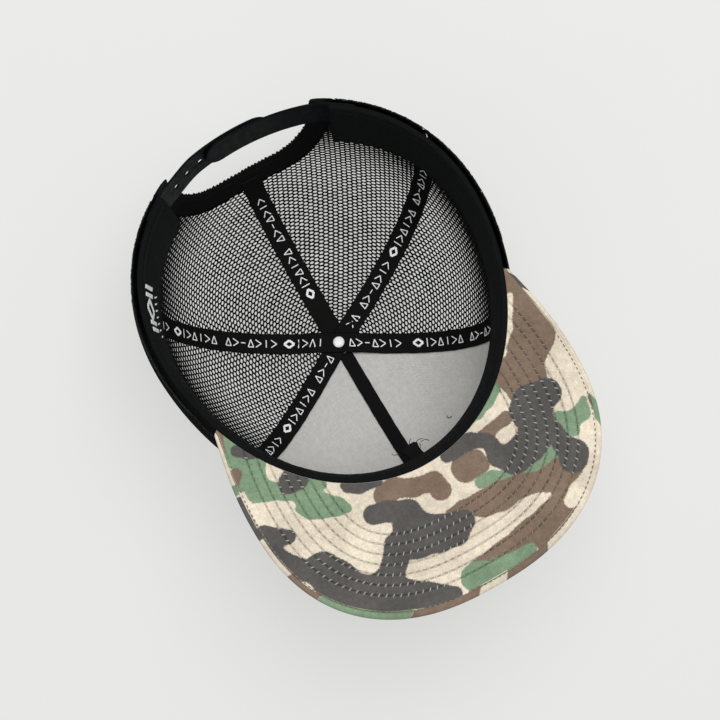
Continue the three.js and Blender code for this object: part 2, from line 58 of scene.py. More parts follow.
RIM_MEAN, RIM_SHIFT, RIM_OVAL, RIM_EGG = 93.2, -1.1, 5.3, 1.9
CROWN_HEIGHT, APEX_Y, WALL, WIDEST_Z = 117, 2.7, 2.9, 20
SWELL, SWELL_BACK = 5.1, 1.95
DOME_POWER, DOME_POWER_FRONT = 2.9, 0.25
LOWER_SHARE, TOP_HOLE_R, NEAR_APEX = 0.12, 5, 0.98
PANEL_ANGLE, BACK = 60, 180
TAPE_WIDTH, FRONT_TAPE_WIDTH, TAPE_THICKNESS = 11.5, 7.6, 0.7
TAPE_DEPTH_MESH, TAPE_DEPTH_FRONT = 1.95, 3.2
CROSSING_RISE, CROSSING_REACH, HIDDEN_END_R = 1.1, 13, 6.5
TAPE_FOOT_Z, FRONT_TAPE_FOOT_Z = 24, 37
ARCH_HALF_WIDTH, ARCH_HEIGHT, ARCH_POWER = 43, 65, 2.9
BINDING_SIDE, BINDING_TOP = 9, 12
BAND_HEIGHT, BAND_LEAN, BAND_LEAN_FRONT, BAND_LEAN_OVAL = 35, 4.8, 1.4, 1.8
BAND_END_ANGLE = 30
BRIM_LIFT, BRIM_FLAT_X, BRIM_ANGLE, BRIM_GAP = 6, 89, 66.5, 0.4
BRIM_CORNER_X, BRIM_CORNER_Y = 82.8, -37
BRIM_HALF_WIDTH, BRIM_WIDEST_Y, BRIM_REACH, BRIM_POWER = 88.8, -83, 84, 2.4
BRIM_SIDE_SHARE, BRIM_TOP = 0.3, 3.8
BRIM_STEP_FROM, BRIM_STEP_TO = 70, 75
STRAP_BOTTOM, STRAP_WIDTH, STRAP_THICKNESS = 0.6, 18, 1.2
STRAP_HALF_ANGLE, STRAP_FLATTENING, STRAP_LEAN = 27, 3, 0.11
STRAP_SEAT, STRAP_LAP = 0.2, 0.5
ROOT_END_ANGLE, HINGE_ANGLE = 38, 26
HOLE_TIP_ANGLE, PEG_TIP_ANGLE, SNAP_PITCH = 11.4, -11.3, 5.3
FIRST_HOLE_ANGLE, HOLE_COUNT = -23.5, 7
FIRST_PEG_ANGLE, PEG_COUNT, PEG_HEIGHT = -7.6, 6, 2.3
BUTTON_R, BUTTON_HEIGHT, BUTTON_LIFT = 7.6, 4.2, 0.35
RIVET_HEAD_R, RIVET_HEAD_HEIGHT, SHANK_R = 3.1, 1.5, 1.4

# ---- Camera and stage ---------------------------------------------------------------------------

CAMERA_TURN = (-0.244693, -0.074684, -0.531161)
CAMERA_SHIFT = (-16.806, -35.121, 927.0)
SENSOR = 36
LENS = 94.41
STAGE_SIZE = 60.0
STAGE_GLOW, STAGE_TONE = 0.462, 0.30
STAGE_GAP = 0.0006
STUDIO_TINT, STUDIO_STRENGTH = (0.99, 0.995, 1.0, 1), 0.62
KEY_ASIDE, KEY_ABOVE, KEY_BEHIND = 0.12, 0.35, 1.4
TOP_LIGHT_FROM = (-0.5, -0.6, 1.2)


def view_axes():
    """The camera's right, down and forward directions, as rows, in the cap's frame."""
    rx, ry, rz = CAMERA_TURN
    turn = Matrix.Rotation(rz, 3, "Z") @ Matrix.Rotation(rx, 3, "X") @ Matrix.Rotation(ry, 3, "Y")
    return turn @ Matrix.Diagonal((-1, -1, 1))


def make_camera():
    """A long-lens camera that looks into the open cap."""
    axes = view_axes()
    right, down, forward = axes[0], axes[1], axes[2]
    camera = bpy.data.objects.new("camera", bpy.data.cameras.new("camera"))
    camera.data.sensor_width = SENSOR
    camera.data.lens = LENS
    camera.data.clip_start = 0.01
    place = Matrix((right, -down, -forward)).transposed().to_4x4()
    place.translation = -(axes.transposed() @ Vector(CAMERA_SHIFT)) * MM
    camera.matrix_world = place
    bpy.context.scene.collection.objects.link(camera)
    bpy.context.scene.camera = camera


def stage_plane(name, centre, normal, look):
    """A large square that only shows from the side its normal points to, and that lets light through."""
    half = STAGE_SIZE / 2
    mesh = bpy.data.meshes.new(name)
    square = [(-half, -half, 0), (half, -half, 0), (half, half, 0), (-half, half, 0)]
    mesh.from_pydata(square, [], [(0, 1, 2, 3)])
    mesh.materials.append(look)
    plane = bpy.data.objects.new(name, mesh)
    plane.rotation_euler = Vector(normal).to_track_quat("Z", "Y").to_euler()
    plane.location = centre
    plane.visible_shadow = False
    plane.visible_diffuse = False
    plane.visible_glossy = False
    bpy.context.scene.collection.objects.link(plane)


def area_light(name, direction, distance, size, power):
    """A soft square light that shines on the cap from a direction."""
    light = bpy.data.lights.new(name, "AREA")
    light.size = size
    light.energy = power
    lamp = bpy.data.objects.new(name, light)
    lamp.location = Vector(direction).normalized() * distance
    lamp.rotation_euler = Vector(direction).to_track_quat("Z", "Y").to_euler()
    bpy.context.scene.collection.objects.link(lamp)


def make_stage():
    """A floor below the cap, a backdrop beyond it, two soft lights and a pale studio round it."""
    look = stage_material()
    axes = view_axes()
    right, down, forward = axes[0], axes[1], axes[2]
    deepest = max(forward.dot(v.co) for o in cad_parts.values() for v in o.data.vertices)
    stage_plane("backdrop", forward * (deepest + STAGE_GAP), -forward, look)
    stage_plane("floor", (0, 0, -STAGE_GAP), (0, 0, 1), look)
    behind_camera = right * KEY_ASIDE - down * KEY_ABOVE - forward * KEY_BEHIND
    area_light("key_light", behind_camera, distance=1.7, size=1.1, power=24)
    area_light("top_light", TOP_LIGHT_FROM, distance=1.8, size=1.2, power=16)
    world = bpy.data.worlds.new("studio")
    world.use_nodes = True
    background = world.node_tree.nodes["Background"]
    background.inputs["Color"].default_value = STUDIO_TINT
    background.inputs["Strength"].default_value = STUDIO_STRENGTH
    bpy.context.scene.world = world
    bpy.context.scene.view_settings.view_transform = "Standard"


# ---- Building materials -------------------------------------------------------------------------


class Look:
    """A node material, with short ways to add and join nodes."""

    def __init__(self, name, roughness, sheen=0.0, shine=0.09):
        self.material = bpy.data.materials.new(name)
        self.material.use_nodes = True
        self.nodes = self.material.node_tree.nodes
        self.links = self.material.node_tree.links
        self.shader = self.nodes["Principled BSDF"]
        self.shader.inputs["Roughness"].default_value = roughness
        self.shader.inputs["Specular IOR Level"].default_value = shine
        self.shader.inputs["Sheen Weight"].default_value = sheen
        self.shader.inputs["Sheen Roughness"].default_value = 0.5

    def put(self, socket, value):
        if isinstance(value, bpy.types.NodeSocket):
            self.links.new(value, socket)
        else:
            socket.default_value = value

    def node(self, kind, settings=(), **inputs):
        made = self.nodes.new(kind)
        for key, value in dict(settings).items():
            setattr(made, key, value)
        for key, value in inputs.items():
            self.put(made.inputs[key.replace("_", " ")], value)
        return made

    def math(self, operation, *values):
        made = self.nodes.new("ShaderNodeMath")
        made.operation = operation
        for socket, value in zip(made.inputs, values):
            self.put(socket, value)
        return made.outputs[0]

    def value(self, attribute):
        """A number that the mesh carries at each point."""
        made = self.node("ShaderNodeAttribute", {"attribute_name": attribute})
        return made.outputs["Fac"]

    def noise(self, scale, detail=2.0, stretch=(1, 1, 1)):
        """Noise over the object's own space, with that many features a metre."""
        place = self.node("ShaderNodeTexCoord").outputs["Object"]
        mapped = self.node("ShaderNodeMapping", Vector=place, Scale=stretch).outputs[0]
        return self.node("ShaderNodeTexNoise", Vector=mapped, Scale=scale, Detail=detail).outputs["Fac"]

    def ramp(self, value, low, high, to_low=0.0, to_high=1.0, smooth=True):
        kind = "SMOOTHSTEP" if smooth else "LINEAR"
        settings = {"interpolation_type": kind}
        sockets = {"From_Min": low, "From_Max": high, "To_Min": to_low, "To_Max": to_high}
        return self.node("ShaderNodeMapRange", settings, Value=value, **sockets).outputs[0]

    def mix(self, share, first, second):
        made = self.nodes.new("ShaderNodeMix")
        made.data_type = "RGBA"
        self.put(made.inputs["Factor"], share)
        for socket, value in ((made.inputs[6], first), (made.inputs[7], second)):
            self.put(socket, value if isinstance(value, bpy.types.NodeSocket) else (*value, 1))
        return made.outputs[2]

    def shade(self, color, factor):
        """The colour with its brightness multiplied by a factor."""
        made = self.nodes.new("ShaderNodeVectorMath")
        made.operation = "SCALE"
        self.put(made.inputs[0], color)
        self.put(made.inputs["Scale"], factor)
        return made.outputs[0]

    def ripple(self, attribute, pitch):
        """A wave from -1 to 1 across threads that lie a pitch apart, in millimetres."""
        turned = self.math("MULTIPLY", self.value(attribute), 2 * math.pi / pitch)
        return self.math("SINE", turned)

    def weave(self, pitch):
        """A plain weave's relief from the cloth's own coordinates."""
        return self.math("MULTIPLY", self.ripple("cloth_x", pitch), self.ripple("cloth_y", pitch))

    def bump(self, height, depth, strength=1.0):
        made = self.node("ShaderNodeBump", Height=height, Distance=depth * MM, Strength=strength)
        self.links.new(made.outputs[0], self.shader.inputs["Normal"])

    def color(self, value):
        self.put(self.shader.inputs["Base Color"], value)
        return self.material


def stage_material():
    """A pale surface that glows a little, and that is clear from behind."""
    look = Look("pale_floor", 0.9)
    look.shader.inputs["Emission Color"].default_value = (1.0, 1.0, 0.98, 1)
    look.shader.inputs["Emission Strength"].default_value = STAGE_GLOW
    grain = look.ramp(look.noise(6), 0.3, 0.7, 0.985, 1.0)
    look.color(look.shade((STAGE_TONE, STAGE_TONE, STAGE_TONE * 0.98), grain))
    facing = look.node("ShaderNodeNewGeometry").outputs["Backfacing"]
    clear = look.node("ShaderNodeBsdfTransparent").outputs[0]
    chosen = look.nodes.new("ShaderNodeMixShader")
    look.links.new(facing, chosen.inputs[0])
    look.links.new(look.shader.outputs[0], chosen.inputs[1])
    look.links.new(clear, chosen.inputs[2])
    look.links.new(chosen.outputs[0], look.nodes["Material Output"].inputs["Surface"])
    return look.material


CREAM = (0.605, 0.535, 0.425)
GREEN = (0.166, 0.242, 0.152)
BROWN = (0.172, 0.122, 0.088)
THREAD_TONE = (0.31, 0.295, 0.275)
CHARCOAL = (0.080, 0.075, 0.071)
INK_EDGE, INK_RAGGED = 0.4, 0.3


def camo_color(look):
    """The printed colour, from the signed distances to each ink's edge that the mesh carries."""
    ragged = look.ramp(look.noise(1600, 2), 0.2, 0.8, -INK_RAGGED, INK_RAGGED)
    color = CREAM
    for ink, paint in (("green", GREEN), ("brown", BROWN), ("cream", CREAM), ("charcoal", CHARCOAL)):
        distance = look.math("ADD", look.value(ink), ragged)
        color = look.mix(look.ramp(distance, -INK_EDGE, INK_EDGE), color, paint)
    return color


def heathered(look, color):
    """Cotton drill: fine light and dark threads, and slow fading over the cloth."""
    threads = look.ramp(look.noise(4200, 1, (1, 0.3, 1)), 0.3, 0.7, 0.90, 1.11)
    cross = look.ramp(look.noise(3600, 1, (0.3, 1, 1)), 0.3, 0.7, 0.92, 1.08)
    faded = look.ramp(look.noise(45, 3), 0.3, 0.7, 0.88, 1.12)
    worn = look.ramp(look.noise(420, 3), 0.3, 0.7, 0.92, 1.09)
    fine = look.math("MULTIPLY", look.math("MULTIPLY", threads, cross), worn)
    return look.shade(color, look.math("MULTIPLY", fine, faded))


def printed_thread():
    """Sewing thread that stays pale over the darkest ink and takes up the colour of the others."""
    look = Look("printed_thread", 0.85)
    pale = look.ramp(look.value("charcoal"), -0.3, 0.3)
    warm = look.ramp(look.value("brown"), -0.3, 0.3, 0.0, 0.35)
    share = look.math("MAXIMUM", pale, warm)
    color = look.mix(share, look.shade(camo_color(look), 0.9), THREAD_TONE)
    look.bump(look.noise(3500, 2), 0.03, 0.5)
    return look.color(look.shade(color, look.ramp(look.noise(2500, 2), 0.3, 0.7, 0.85, 1.15)))


def camo_material(name, hole_shade=1.0, stitched=False):
    """Printed cotton; stitched adds painted shade along the brim's stitch rows."""
    look = Look(name, 0.92, 0.12)
    color = heathered(look, camo_color(look))
    if stitched:
        color = look.shade(color, row_shade(look))
    # A factor below 1 paints the shade inside the brim's needle holes.
    if hole_shade != 1:
        color = look.shade(color, hole_shade)
    relief = look.math("ADD", look.weave(0.8), look.noise(4000, 2))
    look.bump(relief, 0.06, 0.5)
    return look.color(color)


def row_shade(look):
    """Painted shade on the pulled-in line along each stitch row of the brim, over the cloth's real dip there.
    """
    rows = look.math("DIVIDE", look.math("SUBTRACT", look.value("inset"), FIRST_ROW), ROW_PITCH)
    off_row = look.math("ABSOLUTE", look.math("SUBTRACT", rows, look.math("ROUND", rows)))
    line = look.ramp(off_row, 0.05, 0.16, 0.74, 1.0)
    from_middle = look.math("ABSOLUTE", look.math("SUBTRACT", rows, (ROW_COUNT - 1) / 2))
    within = look.ramp(from_middle, ROW_COUNT / 2 - 0.3, ROW_COUNT / 2 - 0.25, 1.0, 0.0)
    grey = look.node("ShaderNodeCombineXYZ", X=line, Y=line, Z=line).outputs[0]
    return look.mix(within, (1, 1, 1), grey)


def plain_cloth(name, tint, roughness, pitch, depth, spread=0.2, sheen=0.0):
    """One-colour cloth with a weave of that pitch and a colour that varies from thread to thread."""
    look = Look(name, roughness, sheen)
    threads = look.ramp(look.noise(1700, 3), 0.25, 0.75, 1 - spread, 1 + spread)
    worn = look.ramp(look.noise(45, 3), 0.3, 0.7, 0.93, 1.07)
    weave = look.ramp(look.weave(pitch), -1.0, 1.0, 1 - spread / 2, 1 + spread / 2)
    factor = look.math("MULTIPLY", look.math("MULTIPLY", threads, worn), weave)
    relief = look.math("ADD", look.weave(pitch), look.noise(1300, 2))
    look.bump(relief, depth, 0.9)
    return look.color(look.shade(tint, factor))


def moulded(name, tint, roughness):
    """Satin moulded plastic with a fine grain and faint rubbing."""
    look = Look(name, roughness, shine=0.04)
    rubbed = look.ramp(look.noise(260, 4), 0.35, 0.75, roughness - 0.06, roughness + 0.1)
    look.put(look.shader.inputs["Roughness"], rubbed)
    tone = look.ramp(look.noise(90, 3), 0.3, 0.7, 0.88, 1.12)
    look.bump(look.noise(3200, 2), 0.03, 0.5)
    return look.color(look.shade(tint, tone))


# ---- Building meshes ----------------------------------------------------------------------------


def piece(name, points, faces, look, slot, values=(), smooth=True):
    """A mesh object from millimetre points. values are numbers carried at each point, by name."""
    mesh = bpy.data.meshes.new(name)
    if isinstance(faces, np.ndarray):
        faces = faces.tolist()
    mesh.from_pydata((np.asarray(points).reshape(-1, 3) * MM).tolist(), [], faces)
    mesh.validate()
    for key, numbers in dict(values).items():
        layer = mesh.attributes.new(key, "FLOAT", "POINT")
        layer.data.foreach_set("value", np.asarray(numbers, np.float32).ravel())
    mesh.polygons.foreach_set("use_smooth", np.full(len(mesh.polygons), smooth))
    mesh.materials.append(look)
    mesh.update()
    made = bpy.data.objects.new(name, mesh)
    bpy.context.scene.collection.objects.link(made)
    return made


def grid_faces(rows, columns, wrap_columns=False):
    """Quads over a grid of points that is stored row by row."""
    i = np.arange(rows - 1)[:, None]
    j = np.arange(columns if wrap_columns else columns - 1)[None, :]
    below, right = i + 1, (j + 1) % columns
    quad = [i * columns + j, below * columns + j, below * columns + right, i * columns + right]
    return np.stack(np.broadcast_arrays(*quad), -1).reshape(-1, 4)


def loft(sections):
    """A closed tube through the sections, a grid of points (along, around, 3), with flat ends."""
    along, around = sections.shape[:2]
    faces = grid_faces(along, around, wrap_columns=True).tolist()
    faces.append(list(range(around)))
    faces.append([(along - 1) * around + k for k in reversed(range(around))])
    return sections.reshape(-1, 3), faces


THREAD_END = 0.45


def thread(points, radius, sides):
    """A round thread along the points, thinner at its ends."""
    points = np.asarray(points, float)
    ahead = np.gradient(points, axis=0)
    ahead /= np.linalg.norm(ahead, axis=1, keepdims=True)
    helper = np.where(np.abs(ahead[:, 2:]) > 0.9, [[1.0, 0, 0]], [[0, 0, 1.0]])
    across = np.cross(ahead, helper)
    across /= np.linalg.norm(across, axis=1, keepdims=True)
    lift = np.cross(across, ahead)
    turn = np.linspace(0, 2 * np.pi, sides, endpoint=False)
    taper = np.ones(len(points))
    taper[[0, -1]] = THREAD_END
    cosine, sine = np.cos(turn)[None, :, None], np.sin(turn)[None, :, None]
    ring = across[:, None] * cosine + lift[:, None] * sine
    return loft(points[:, None] + ring * (radius * taper)[:, None, None])


def joined(shapes):
    """Several (points, faces) as one."""
    points, faces, first = [], [], 0
    for some_points, some_faces in shapes:
        points.append(np.asarray(some_points).reshape(-1, 3))
        faces.extend([[k + first for k in face] for face in some_faces])
        first += len(points[-1])
    return np.concatenate(points), faces


def stitches(centres, along, up, length, radius, yaw=0.0):
    """Short raised threads at the centres; yaw turns each from the row's direction, in degrees."""
    across = np.cross(up, along)
    turn = np.radians(yaw + rng.normal(0, 4, len(centres)))[:, None]
    ahead = along * np.cos(turn) + across * np.sin(turn)
    aside = np.cross(up, ahead)
    stations = np.array([-1, -0.75, 0, 0.75, 1.0])
    swell_of = np.sqrt(1 - 0.85 * stations**2)
    angles = np.linspace(0, 2 * np.pi, 6, endpoint=False)
    shapes = []
    for k in range(len(centres)):
        spine = centres[k] + ahead[k] * (stations * length / 2)[:, None]
        spine = spine - up[k] * (0.35 * radius * stations**2)[:, None]
        ring = aside[k] * np.cos(angles)[:, None] + up[k] * np.sin(angles)[:, None]
        shapes.append(loft(spine[:, None] + ring[None] * (radius * swell_of)[:, None, None]))
    return joined(shapes)


def every(points, pitch, start=0.0):
    """Points a pitch apart along a polyline, with its direction at each."""
    steps = np.linalg.norm(np.diff(points, axis=0), axis=1)
    distance = np.concatenate([[0], np.cumsum(steps)])
    at = np.arange(start + pitch / 2, distance[-1], pitch)
    centres = np.stack([np.interp(at, distance, points[:, k]) for k in range(3)], -1)
    ahead = np.stack([np.interp(at + 0.2, distance, points[:, k]) for k in range(3)], -1)
    behind = np.stack([np.interp(at - 0.2, distance, points[:, k]) for k in range(3)], -1)
    along = ahead - behind
    return centres, along / np.linalg.norm(along, axis=1, keepdims=True)


def smoothstep(x, low, high):
    t = np.clip((np.asarray(x, float) - low) / (high - low), 0, 1)
    return t * t * (3 - 2 * t)


def ride(made, *nodes, body="cap"):
    """Fixes a piece to a body and says which CAD nodes it takes the place of."""
    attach(made, body)
    if nodes:
        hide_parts(*nodes)
    return made


# ---- The crown's surface, as in part.mjs --------------------------------------------------------


def outward(azimuth):
    """The level direction away from the crown's axis."""
    a = np.radians(azimuth)
    return np.stack([np.sin(a), -np.cos(a), np.zeros_like(a)], -1)


def rim_radius(azimuth):
    """The head opening's radius, longer at the front and back than at the sides."""
    a = np.radians(azimuth)
    return RIM_MEAN + RIM_SHIFT * np.cos(a) + RIM_OVAL * np.cos(2 * a) + RIM_EGG * np.cos(3 * a)


def swell(azimuth):
    return SWELL - SWELL_BACK * np.cos(np.radians(azimuth))


def dome_power(azimuth):
    return DOME_POWER + DOME_POWER_FRONT * np.cos(np.radians(azimuth))


def share_at_angle(angle):
    """The share of the way up at which meridian() reaches an angle of its upper curve."""
    eased = np.clip(angle / (np.pi / 2), 0, 1)
    return LOWER_SHARE + (1 - LOWER_SHARE) * (0.5 - np.sin(np.arcsin(1 - 2 * eased) / 3))


def share_at_height(azimuth, z):
    rise = np.clip((np.asarray(z, float) - WIDEST_Z) / (CROWN_HEIGHT - WIDEST_Z), 0, 1)
    upper = share_at_angle(np.arcsin(rise ** (dome_power(azimuth) / 2)))
    return np.where(z < WIDEST_Z, LOWER_SHARE * z / WIDEST_Z, upper)


def share_at_radius(azimuth, radius):
    widest = rim_radius(azimuth) + swell(azimuth)
    return share_at_angle(np.arccos((radius / widest) ** (dome_power(azimuth) / 2)))


def meridian(azimuth, v):
    """The outer surface at a share v, 0 at the rim's plane and 1 at the apex."""
    azimuth, v = np.broadcast_arrays(np.asarray(azimuth, float), np.asarray(v, float))
    rim = rim_radius(azimuth)
    rise = np.sin(np.pi / 2 * np.minimum(v / LOWER_SHARE, 1))
    low_r = rim + WALL + (swell(azimuth) - WALL) * rise
    low = outward(azimuth) * low_r[..., None]
    low[..., 2] = WIDEST_Z * v / LOWER_SHARE
    w = np.clip((v - LOWER_SHARE) / (1 - LOWER_SHARE), 0, 1)
    angle = np.pi / 2 * w * w * (3 - 2 * w)
    power = 2 / dome_power(azimuth)
    spread = (np.maximum(0, np.cos(angle)) ** power)[..., None]
    high = outward(azimuth) * ((rim + swell(azimuth))[..., None] * spread)
    high[..., 1] += APEX_Y * (1 - spread[..., 0])
    high[..., 2] = WIDEST_Z + (CROWN_HEIGHT - WIDEST_Z) * np.sin(angle) ** power
    return np.where((v < LOWER_SHARE)[..., None], low, high)


def unit(vectors):
    return vectors / np.linalg.norm(vectors, axis=-1, keepdims=True)


def wall_directions(azimuth, v):
    """Along the wall at constant share, and out of the wall."""
    at = np.minimum(v, NEAR_APEX)
    step = 1e-3
    side = unit(meridian(azimuth + step, at) - meridian(azimuth - step, at))
    rise = meridian(azimuth, np.minimum(1, v + step)) - meridian(azimuth, np.maximum(0, v - step))
    return side, unit(np.cross(side, rise))


def crown_point(azimuth, v, depth, sideways=0.0):
    """The surface's point, a depth below the surface and shifted sideways along the wall."""
    azimuth, v = np.broadcast_arrays(np.asarray(azimuth, float), np.asarray(v, float))
    side, normal = wall_directions(azimuth, v)
    depth, sideways = np.asarray(depth, float)[..., None], np.asarray(sideways, float)[..., None]
    return meridian(azimuth, v) - normal * depth + side * sideways


def brim_arch(x):
    return BRIM_LIFT * np.maximum(0, 1 - (np.asarray(x) / BRIM_FLAT_X) ** 2)


def rim_point(azimuth, offset=0.0):
    return outward(azimuth) * (rim_radius(azimuth) + offset)[..., None]


def crown_foot(azimuth):
    """Height of the crown's lower edge: on top of the brim at the front, at the rim's plane elsewhere."""
    on_brim = brim_arch(rim_point(azimuth)[..., 0]) + BRIM_TOP + 0.3
    return on_brim * (1 - smoothstep(np.abs(azimuth), BRIM_STEP_FROM, BRIM_STEP_TO))


# ---- The camouflage print -----------------------------------------------------------------------

# Each patch is a chain of (x, y, radius) discs, in millimetres on the brim's lower cover.
GREEN_PATCHES = [
    [(-69, -66, 1.5), (-62, -70, 1.2)],
    [(-46, -84, 3.5), (-40, -87.5, 3.4), (-33, -91, 2.3), (-28, -92.5, 1.2)],
    [(-80, -111, 1.8), (-76, -116, 4), (-70, -116.5, 4), (-65, -113, 3.4), (-68, -121, 3.5)],
    [(-54, -121, 4), (-53, -127, 4.5), (-46, -127.5, 4.5), (-38, -128, 4), (-30, -126, 4), (-23, -122.5, 4.5),
     (-18, -120.5, 3.5)],
    [(-20, -159, 5), (-12, -161, 5.5), (-2, -160.5, 6), (8, -158.5, 6.5), (7, -154, 4), (-21, -154, 3)],
    [(36, -147, 1.5), (29, -152, 2.2), (22, -156, 1.5)],
    [(77, -38, 5), (80, -50, 6), (72, -58, 5), (82, -63, 5), (73, -66, 5), (77, -72, 6), (69, -77, 4.5),
     (62, -81, 4)],
    [(50.5, -82, 4.2), (57, -83.5, 5), (61, -88, 5), (60, -92, 4), (55, -92, 6.5), (48, -96.5, 4.5),
     (44.5, -99.5, 2.4)],
    [(60, -147, 4), (52, -152, 4.5), (44, -155, 3.5)],
    [(24, -66, 8), (37, -56, 7), (44, -60, 6)],
    [(-45, -44, 7), (-55, -52, 5), (-38, -38, 5)],
    [(-8, -82, 5), (4, -84, 6)],
]
BROWN_PATCHES = [
    [(-79, -34, 6), (-77, -48, 8), (-76, -60, 9), (-75, -71, 11), (-66, -80, 9), (-58, -84, 9),
     (-54, -79, 6)],
    [(-66, -89, 6), (-56, -92, 6)],
    [(-44, -99.5, 3.4), (-36, -101.5, 3.4), (-30, -101.5, 3.2)],
    [(-20.5, -109.5, 5.2), (-14, -110, 5.6), (-14, -112, 5.4), (-22, -113.5, 4)],
    [(1, -114, 5.3), (1.5, -108.5, 4.3), (12, -106.5, 4.5), (20, -102, 5), (25.5, -103, 5.6)],
    [(-53, -134, 5.5), (-44, -135, 5), (-33, -131.5, 5.5), (-22, -131, 7), (-13, -130, 6.2), (-4, -127, 3.6),
     (3, -126, 2)],
    [(-58, -140, 4), (-49, -142.5, 4.5), (-38, -146, 3)],
    [(-50, -148, 4), (-38, -150, 5), (-27, -152, 5.5), (-14, -152, 4.6), (-3, -151, 3.6), (4, -150, 1.8)],
    [(-50, -153, 3), (-38, -157, 5.5), (-29, -160, 4.6)],
    [(5, -166.5, 3), (13, -165, 2.4)],
    [(81, -36, 3), (84, -45, 2.6)],
    [(83, -59, 3.2), (85, -62, 2.5)],
    [(58, -145, 2.8), (66, -140, 3), (69, -137, 1.5)],
    [(-22, -48, 8), (-6, -57, 9), (4, -52, 6)],
    [(46, -40, 7), (56, -46, 5)],
    [(-44, -62, 6), (-34, -70, 5)],
]
CREAM_PATCHES = [
    [(-76, -48.5, 1.6), (-71, -54, 2.6), (-66, -61, 3.4), (-60, -67, 3)],
    [(-43.5, -106.5, 2.8), (-39.5, -107, 3.6), (-36.5, -106, 2)],
    [(-63, -141, 0.8), (-55, -146.5, 3), (-50, -150, 3.5)],
    [(-42.5, -142.3, 1.2), (-30, -143, 2.6), (-15, -144.5, 4), (0, -146, 4.5), (12, -147, 5), (22, -143, 6),
     (30, -138.5, 5)],
    [(17, -150, 5), (17.5, -155, 3)],
    [(67, -64.5, 2.4), (68, -68, 2.4)],
    [(82, -79, 3), (74, -83, 3.4), (67.5, -85.5, 2.6)],
]
CHARCOAL_PATCHES = [
    [(-66.5, -99, 7.4), (-57, -97, 6.6), (-53, -101, 7), (-52, -108, 6)],
    [(-61, -105, 5), (-54, -113, 8), (-46, -117, 8), (-37, -118.5, 7.6), (-31, -114, 5), (-31, -107, 4)],
    [(-30, -104, 3.6), (-23, -100.5, 4), (-13, -101, 3.6), (-9.5, -101.5, 3)],
    [(-61, -116, 3.6), (-60.5, -124, 4.5), (-62.5, -131, 7), (-61, -133.5, 6.6)],
    [(35, -108.5, 5), (28, -110.5, 5), (19, -115, 5), (18, -121, 5.4)],
    [(23, -122, 8), (11, -128, 5), (-1, -132.5, 5), (5, -136.5, 5.2), (14, -136, 4.4), (24, -131, 7),
     (32, -127, 6.6)],
    [(34, -130, 6.5), (42, -138, 6), (52, -141, 7), (60, -136, 8), (66, -128, 10.5), (69, -120, 8.6),
     (78, -116, 4)],
    [(53, -143, 9), (43, -148, 8), (31, -155, 6), (20, -160.5, 3.6)],
    [(75.5, -98, 3.6), (80, -96, 4.4), (85, -92, 5)],
    [(85, -98, 3.6), (83.5, -106, 4.2), (79, -114, 6)],
    [(38, -90, 4.2), (34, -92.5, 4), (25, -96, 2)],
    [(67, -55, 3), (72, -52, 3.6), (77, -49, 3)],
    [(57, -70, 4), (62, -75, 5), (58, -76, 4.4), (66, -77, 2)],
    [(-84, -112, 2), (-83, -120, 2)],
    [(-34, -68, 7), (-20, -74, 6), (-6, -76, 4)],
    [(10, -38, 7), (22, -42, 6), (30, -38, 5)],
    [(48, -72, 4), (38, -78, 5), (24, -82, 4)],
]
INKS = {"green": GREEN_PATCHES, "brown": BROWN_PATCHES, "cream": CREAM_PATCHES, "charcoal": CHARCOAL_PATCHES}
INK_BLEND, FAR_OUTSIDE = 0.7, -9.0


def patch_distance(x, y, patches):
    """How far inside the patches each point lies, in millimetres, with rounded joins between discs."""
    total = np.zeros(x.shape)
    for patch in patches:
        for (ax, ay, ar), (bx, by, br) in zip(patch, patch[1:]):
            dx, dy = bx - ax, by - ay
            share = np.clip(((x - ax) * dx + (y - ay) * dy) / (dx * dx + dy * dy), 0, 1)
            gap = np.hypot(x - ax - share * dx, y - ay - share * dy)
            total += np.exp(np.clip((ar + share * (br - ar) - gap) / INK_BLEND, -40, 40))
    return INK_BLEND * np.log(total + 1e-18)


def print_values(x, y):
    """The inks' distances and the cloth's own coordinates, for piece()."""
    x, y = np.asarray(x, float).ravel(), np.asarray(y, float).ravel()
    values = {ink: patch_distance(x, y, patches) for ink, patches in INKS.items()}
    return {**values, "cloth_x": x, "cloth_y": y}


# The rolled edge is cut from another part of the cloth: colours between places on the outline, u.
EDGE_INKS = {
    "green": [(0.795, 0.83), (0.2, 0.46), (-0.56, -0.49)],
    "brown": [(0.46, 0.56), (0.035, 0.2), (-0.115, -0.012)],
    "cream": [],
    "charcoal": [(0.665, 0.79), (-0.97, -0.9)],
}
EDGE_SLANT = 0.8


def edge_values(along, inset):
    """The inks on the rolled edge, from the millimetres along the outline and in from it."""
    place, inset = np.broadcast_arrays(along + EDGE_SLANT * inset, inset)
    values = {}
    for ink, spans in EDGE_INKS.items():
        distance = np.full(place.shape, FAR_OUTSIDE)
        for span in spans:
            low, high = np.interp(span, EVEN_U, np.linspace(0, BRIM_LENGTH, BRIM_STEPS + 1))
            distance = np.maximum(distance, (high - low) / 2 - np.abs(place - (low + high) / 2))
        values[ink] = distance.ravel()
    return {**values, "cloth_x": place.ravel(), "cloth_y": inset.ravel()}


# ---- Brim ---------------------------------------------------------------------------------------

FIRST_ROW, ROW_PITCH, ROW_COUNT = 11.2, 4.9, 7
EDGE_ROW = 3.15
QUILT = 0.3
LIP_REACH = 4.2
BRIM_STEPS, UNDER_COLUMNS, TOP_COLUMNS = 320, 110, 60
ROLL_START = TOP_COLUMNS + 3
FLIP_Y = -205
CLOTH = 0.6
CROWN_CLEARANCE = 2.5
HOLE_PITCH, TICK_SLANT = 3.5, 62
UNDER_FACE, UNDER_BACK = 0.35, 0.85


